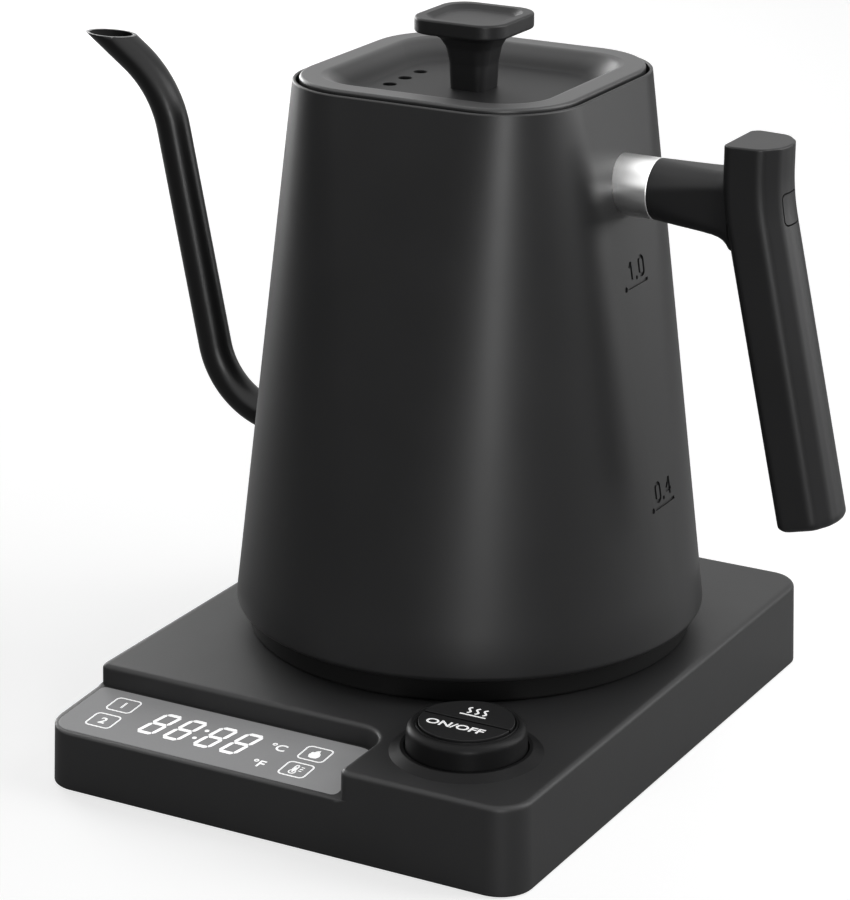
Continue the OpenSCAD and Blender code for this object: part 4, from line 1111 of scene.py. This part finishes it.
def makeSkirt():
    s = skirt
    rim, inner = s["outer"] - s["rim"], s["outer"] - s["wall"]
    shape = softProfile([
        (rim, s["low"], 0.3), (s["outer"], s["low"], 0.8), (s["outer"], s["top"], 0.2),
        (inner, s["top"], 0), (inner, s["floorTop"], 0.5), (s["socket"], s["floorTop"], 0),
        (s["socket"], s["floor"], 0.2), (rim, s["floor"], 0.4)])
    # the skirt under the kettle is given near-black painted shade
    return fitted(revolve("bottomSkirt", shape, kettleAxis, 192), "kettle", "paintedShadeFinish",
                  ["kettle_bottom_cover"])


makeBody()
makeSpout()
makeSkirt()
print("kettle body and spout made")

# ---- the lid ----

lid = {"half": 40.85, "corner": 22.1, "top": 186.9, "skirtZ": 179.8, "sheet": 1.1, "dishHalf": 34.8,
       "dishCorner": 14.7, "dishZ": 181.7, "floorHalf": 26.8, "edge": 0.8,
       "footHalf": 28.7, "footRound": 4.6, "riseHalf": 33.6, "riseRound": 2.8,
       "underHalf": 34.6, "underFoot": 29.9, "underRound": 4.0,
       "vent": 1.9, "ventX": -21.6, "ventPitch": 8.7, "screw": 1.6}


def lidCorner(half, z):
    if half > lid["dishHalf"]:
        return lid["corner"] - (lid["half"] - half)
    return lid["dishCorner"] * min(1.0, half / lid["floorHalf"])


def makeLid():
    m = lid
    half, top, low, dish, vent = m["half"], m["top"], m["skirtZ"], m["dishZ"], m["vent"]
    inner, under, dishUnder = half - m["sheet"], top - m["sheet"], dish - m["sheet"]
    profile = softProfile([
        (0, dish, 0), (m["footHalf"], dish, m["footRound"]), (m["riseHalf"], top, m["riseRound"]),
        (half, top, m["edge"]), (half, low, 0.2), (inner, low, 0.2), (inner, under, 0.4),
        (m["underHalf"], under, m["edge"]), (m["underFoot"], dishUnder, m["underRound"]),
        (0, dishUnder, 0)], closed=False, steps=5, longest=8)
    cover = stacked("lidCover", profile, lidCorner, kettleAxis, "coat")
    drill = revolve("drill", softProfile([(0, 177, 0), (vent, 177, 0), (vent, dish - 0.15, 0),
                                          (vent + 0.3, dish + 0.2, 0), (0, dish + 0.2, 0)]), steps=48)
    shaped(evenRow, drill, "coat", {"Count": 3, "Pitch": (0, m["ventPitch"] * mm, 0)})
    shifted(drill, kettleAxis.x + m["ventX"], kettleAxis.y - m["ventPitch"], 0)
    changed(cover, [drill, rod("screwHole", m["screw"], 178, 183, kettleAxis, steps=32)])
    return fitted(tidied(cover), "lid", "lidCoat", ["lid_cover"])


# The neck's rows: half width, drop below the plate and how rounded the profile is there
knob = {"top": 202.1, "foot": 181.72, "half": 13.9, "plate": 4.2, "dip": 1.3, "dipHalf": 9.7,
        "rimHalf": 11.4, "footHalf": 5.6, "screwDeep": 8.9,
        "neck": ((10.25, 0.7, 1.5), (8.2, 2, 2.5), (6.7, 4.6, 4.0), (5.9, 9, 8.0)),
        "corners": ((0, 0), (5.6, 3.2), (6.7, 3.8), (8.2, 4.6), (10.25, 5.6), (13.9, 7.0))}


def knobCorner(half, z):
    for (h0, c0), (h1, c1) in zip(knob["corners"], knob["corners"][1:]):
        if half <= h1:
            return c0 + (c1 - c0) * (half - h0) / (h1 - h0)
    return knob["corners"][-1][1]


def makeKnob():
    k, half, top = knob, knob["half"], knob["top"]
    dip, under = top - k["dip"], top - k["plate"]
    neck = [(x, under - drop, radius) for x, drop, radius in k["neck"]]
    profile = softProfile(
        [(0, dip, 0), (k["dipHalf"], dip, 1.2), (k["rimHalf"], top, 0.45), (half, top, 0.6),
         (half, under, 0.7)] + neck + [(k["footHalf"], k["foot"], 0), (0, k["foot"], 0)],
        closed=False, steps=5, longest=4)
    grip = stacked("lidKnob", profile, knobCorner, kettleAxis, "grip", steps=16)
    end = k["foot"] + k["screwDeep"]
    changed(grip, [rod("screwBore", lid["screw"], 180, end, kettleAxis, steps=32)])
    return fitted(tidied(grip), "lid", "grip", ["lid_knob"])


makeLid()
makeKnob()
print("lid made")

# ---- the handle ----

handle = {"armZ": 160.3, "ferruleEnd": 56.6, "ferrule": 8.4, "nut": 6.7, "x": 86.7, "t": 15.5, "w": 21,
          "rise": 17, "turnZ": 162.7, "length": 91, "lean": 12.4, "bend": 70, "edge": 0.5, "foot": 2.0,
          "plug": 8.0, "plugGap": 0.8, "plugDeep": 1.9, "recess": 2, "bolt": 2.6, "boltHead": 3.5}

# Half of the grip's section with the radius of each corner: a bowed outer face, a bevel along the
# outer corner, a nearly flat side and a tighter corner on the body's side
gripHalf = [(7.75, 1.68, 9), (6.85, 5.25, 4.4), (3.27, 9.56, 4.6), (-5.95, 10.5, 2.2), (-7.75, 8.7, 1.6)]
gripOutline = softProfile(gripHalf + [(x, -y, r) for x, y, r in reversed(gripHalf)], steps=9)


def gripSection(x, z, lean=0.0, inset=0.0):
    h = handle
    c, s = math.cos(lean), math.sin(lean)
    across, over = 1 - 2 * inset / h["t"], 1 - 2 * inset / h["w"]
    return [(x + p.x * across * c, p.y * over, z + p.x * across * s) for p in gripOutline]


def makeGripForm(name):
    h = handle
    lean = math.radians(h["lean"])
    turn = h["bend"] * math.tan(lean / 2)
    top = h["armZ"] + h["rise"]

    def leaning(n, inset=0.0):
        return gripSection(h["x"] + n * math.sin(lean), h["turnZ"] - n * math.cos(lean), lean, inset)

    rings = [gripSection(h["x"], top - drop, 0, i) for i, drop in reversed(edgeRows(h["edge"], 4, 1.6))]
    for k in range(13):
        a = lean * k / 12
        rings.append(gripSection(h["x"] + h["bend"] * (1 - math.cos(a)),
                                 h["turnZ"] + turn - h["bend"] * math.sin(a), a))
    straight = h["length"] - 1.5 * h["foot"] - turn
    rings += [leaning(turn + straight * k / 8) for k in range(1, 9)]
    rings += [leaning(h["length"] - drop, i) for i, drop in edgeRows(h["foot"], 6, 0, 1.4)[1:]]
    return loft(name, rings, kettleAxis)


# The arm's sections: place, height, width, corner radius and drop. It starts as the ferrule's
# circle, turns into a rounded rectangle and flares into the grip
armKeys = [(56.7, 16.8, 16.8, 8.4, 0.0), (64.0, 17.1, 16.2, 7.0, 0.3), (71.0, 17.4, 15.5, 5.7, 0.55),
           (74.5, 17.7, 15.3, 5.1, 0.7), (76.5, 18.3, 15.6, 5.1, 0.85), (78.2, 19.3, 16.2, 5.2, 1.1),
           (79.6, 20.8, 17.0, 5.3, 1.5), (80.8, 22.8, 17.9, 5.4, 2.0)]


def armRings():
    rings = []
    for low, high in zip(armKeys, armKeys[1:]):
        for k in range(3):
            x, tall, wide, corner, drop = (a + (b - a) * k / 3 for a, b in zip(low, high))
            rings.append([(x, p[0], handle["armZ"] - drop + p[1])
                          for p in planPath(rectCorners(wide, tall, corner), 0, 12)])
    return rings


# A square bar on the arm's axis, from x outwards
def squareBar(name, side, corner, x, length):
    bar = block(name, lambda i: planPath(rectCorners(side, side, corner), i), 0, length)
    return placed(bar, kettleAxis + Vector((x, 0, handle["armZ"])), math.pi / 2, "Y")


def makeGrip():
    h = handle
    face = h["x"] + h["t"] / 2
    centre = kettleAxis + Vector((0, 0, h["armZ"]))
    grip = changed(makeGripForm("handleGrip"), [loft("arm", armRings(), kettleAxis)], "UNION")
    changed(grip, [squareBar("recess", h["plug"] + h["plugGap"], 1.5, face - h["recess"], 5),
                   rod("boltBore", h["bolt"], 50, face - 1, centre, "X", 48),
                   rod("headBore", h["boltHead"], face - 6, face - 1, centre, "X", 48)])
    return fitted(tidied(grip), "kettle", "grip", ["handle_grip"])


# The plug's outer face is the grip's own surface
def makePlug():
    h = handle
    cap = squareBar("boltPlug", h["plug"], 1.2, h["x"] + h["t"] / 2 - h["plugDeep"], 4)
    changed(cap, [makeGripForm("gripForm")], "INTERSECT")
    return fitted(tidied(cap), "kettle", "grip", ["bolt_plug"])


def makeFerrule():
    h = handle
    shape = softProfile([(h["nut"], 40, 0), (h["ferrule"], 40, 0), (h["ferrule"], h["ferruleEnd"], 0.3),
                         (h["nut"], h["ferruleEnd"], 0.2)])
    sleeve = revolve("handleFerrule", shape, kettleAxis + Vector((0, 0, h["armZ"])), 96, "X")
    wall = box("wall", (-60, -30, -40), (0.02, 30, 40))
    placed(wall, kettleAxis + Vector((bodyHalf(h["armZ"]), 0, h["armZ"])), -wallLean, "Y")
    changed(sleeve, [wall])
    return fitted(tidied(sleeve), "kettle", "turnedSteel", ["handle_ferrule"])


makeGrip()
makePlug()
makeFerrule()
print("handle made")

# ---- CAD pieces whose shape stays ----

kept = {
    "moulded": ["base_bottom_cover", "dial_post", "power_plug", "cord_gland"],
    "rubber": ["base_feet"],
    "platedSteel": ["base_screws", "ferrule_nut", "handle_bolt", "lid_knob_screw", "temperature_sensor"],
    "innerPlastic": ["display_module", "encoder_body", "tactile_switches", "kettle_socket", "lid_liner"],
    "greenMask": ["control_board", "power_board"],
    "relayBlue": ["relay"],
    "terminalGreen": ["terminal_block"],
    "brass": ["plug_contacts", "socket_contacts"],
    "heaterSteel": ["heating_plate", "heating_element"],
    "coat": ["neck_ring"],
    "silicone": ["lid_seal"],
}
for material, names in kept.items():
    for name in names:
        slots = nodes[name].data.materials
        if not slots:
            slots.append(None)
        for k in range(len(slots)):
            slots[k] = finish[material]
print("CAD pieces finished,", sum(len(names) for names in kept.values()))
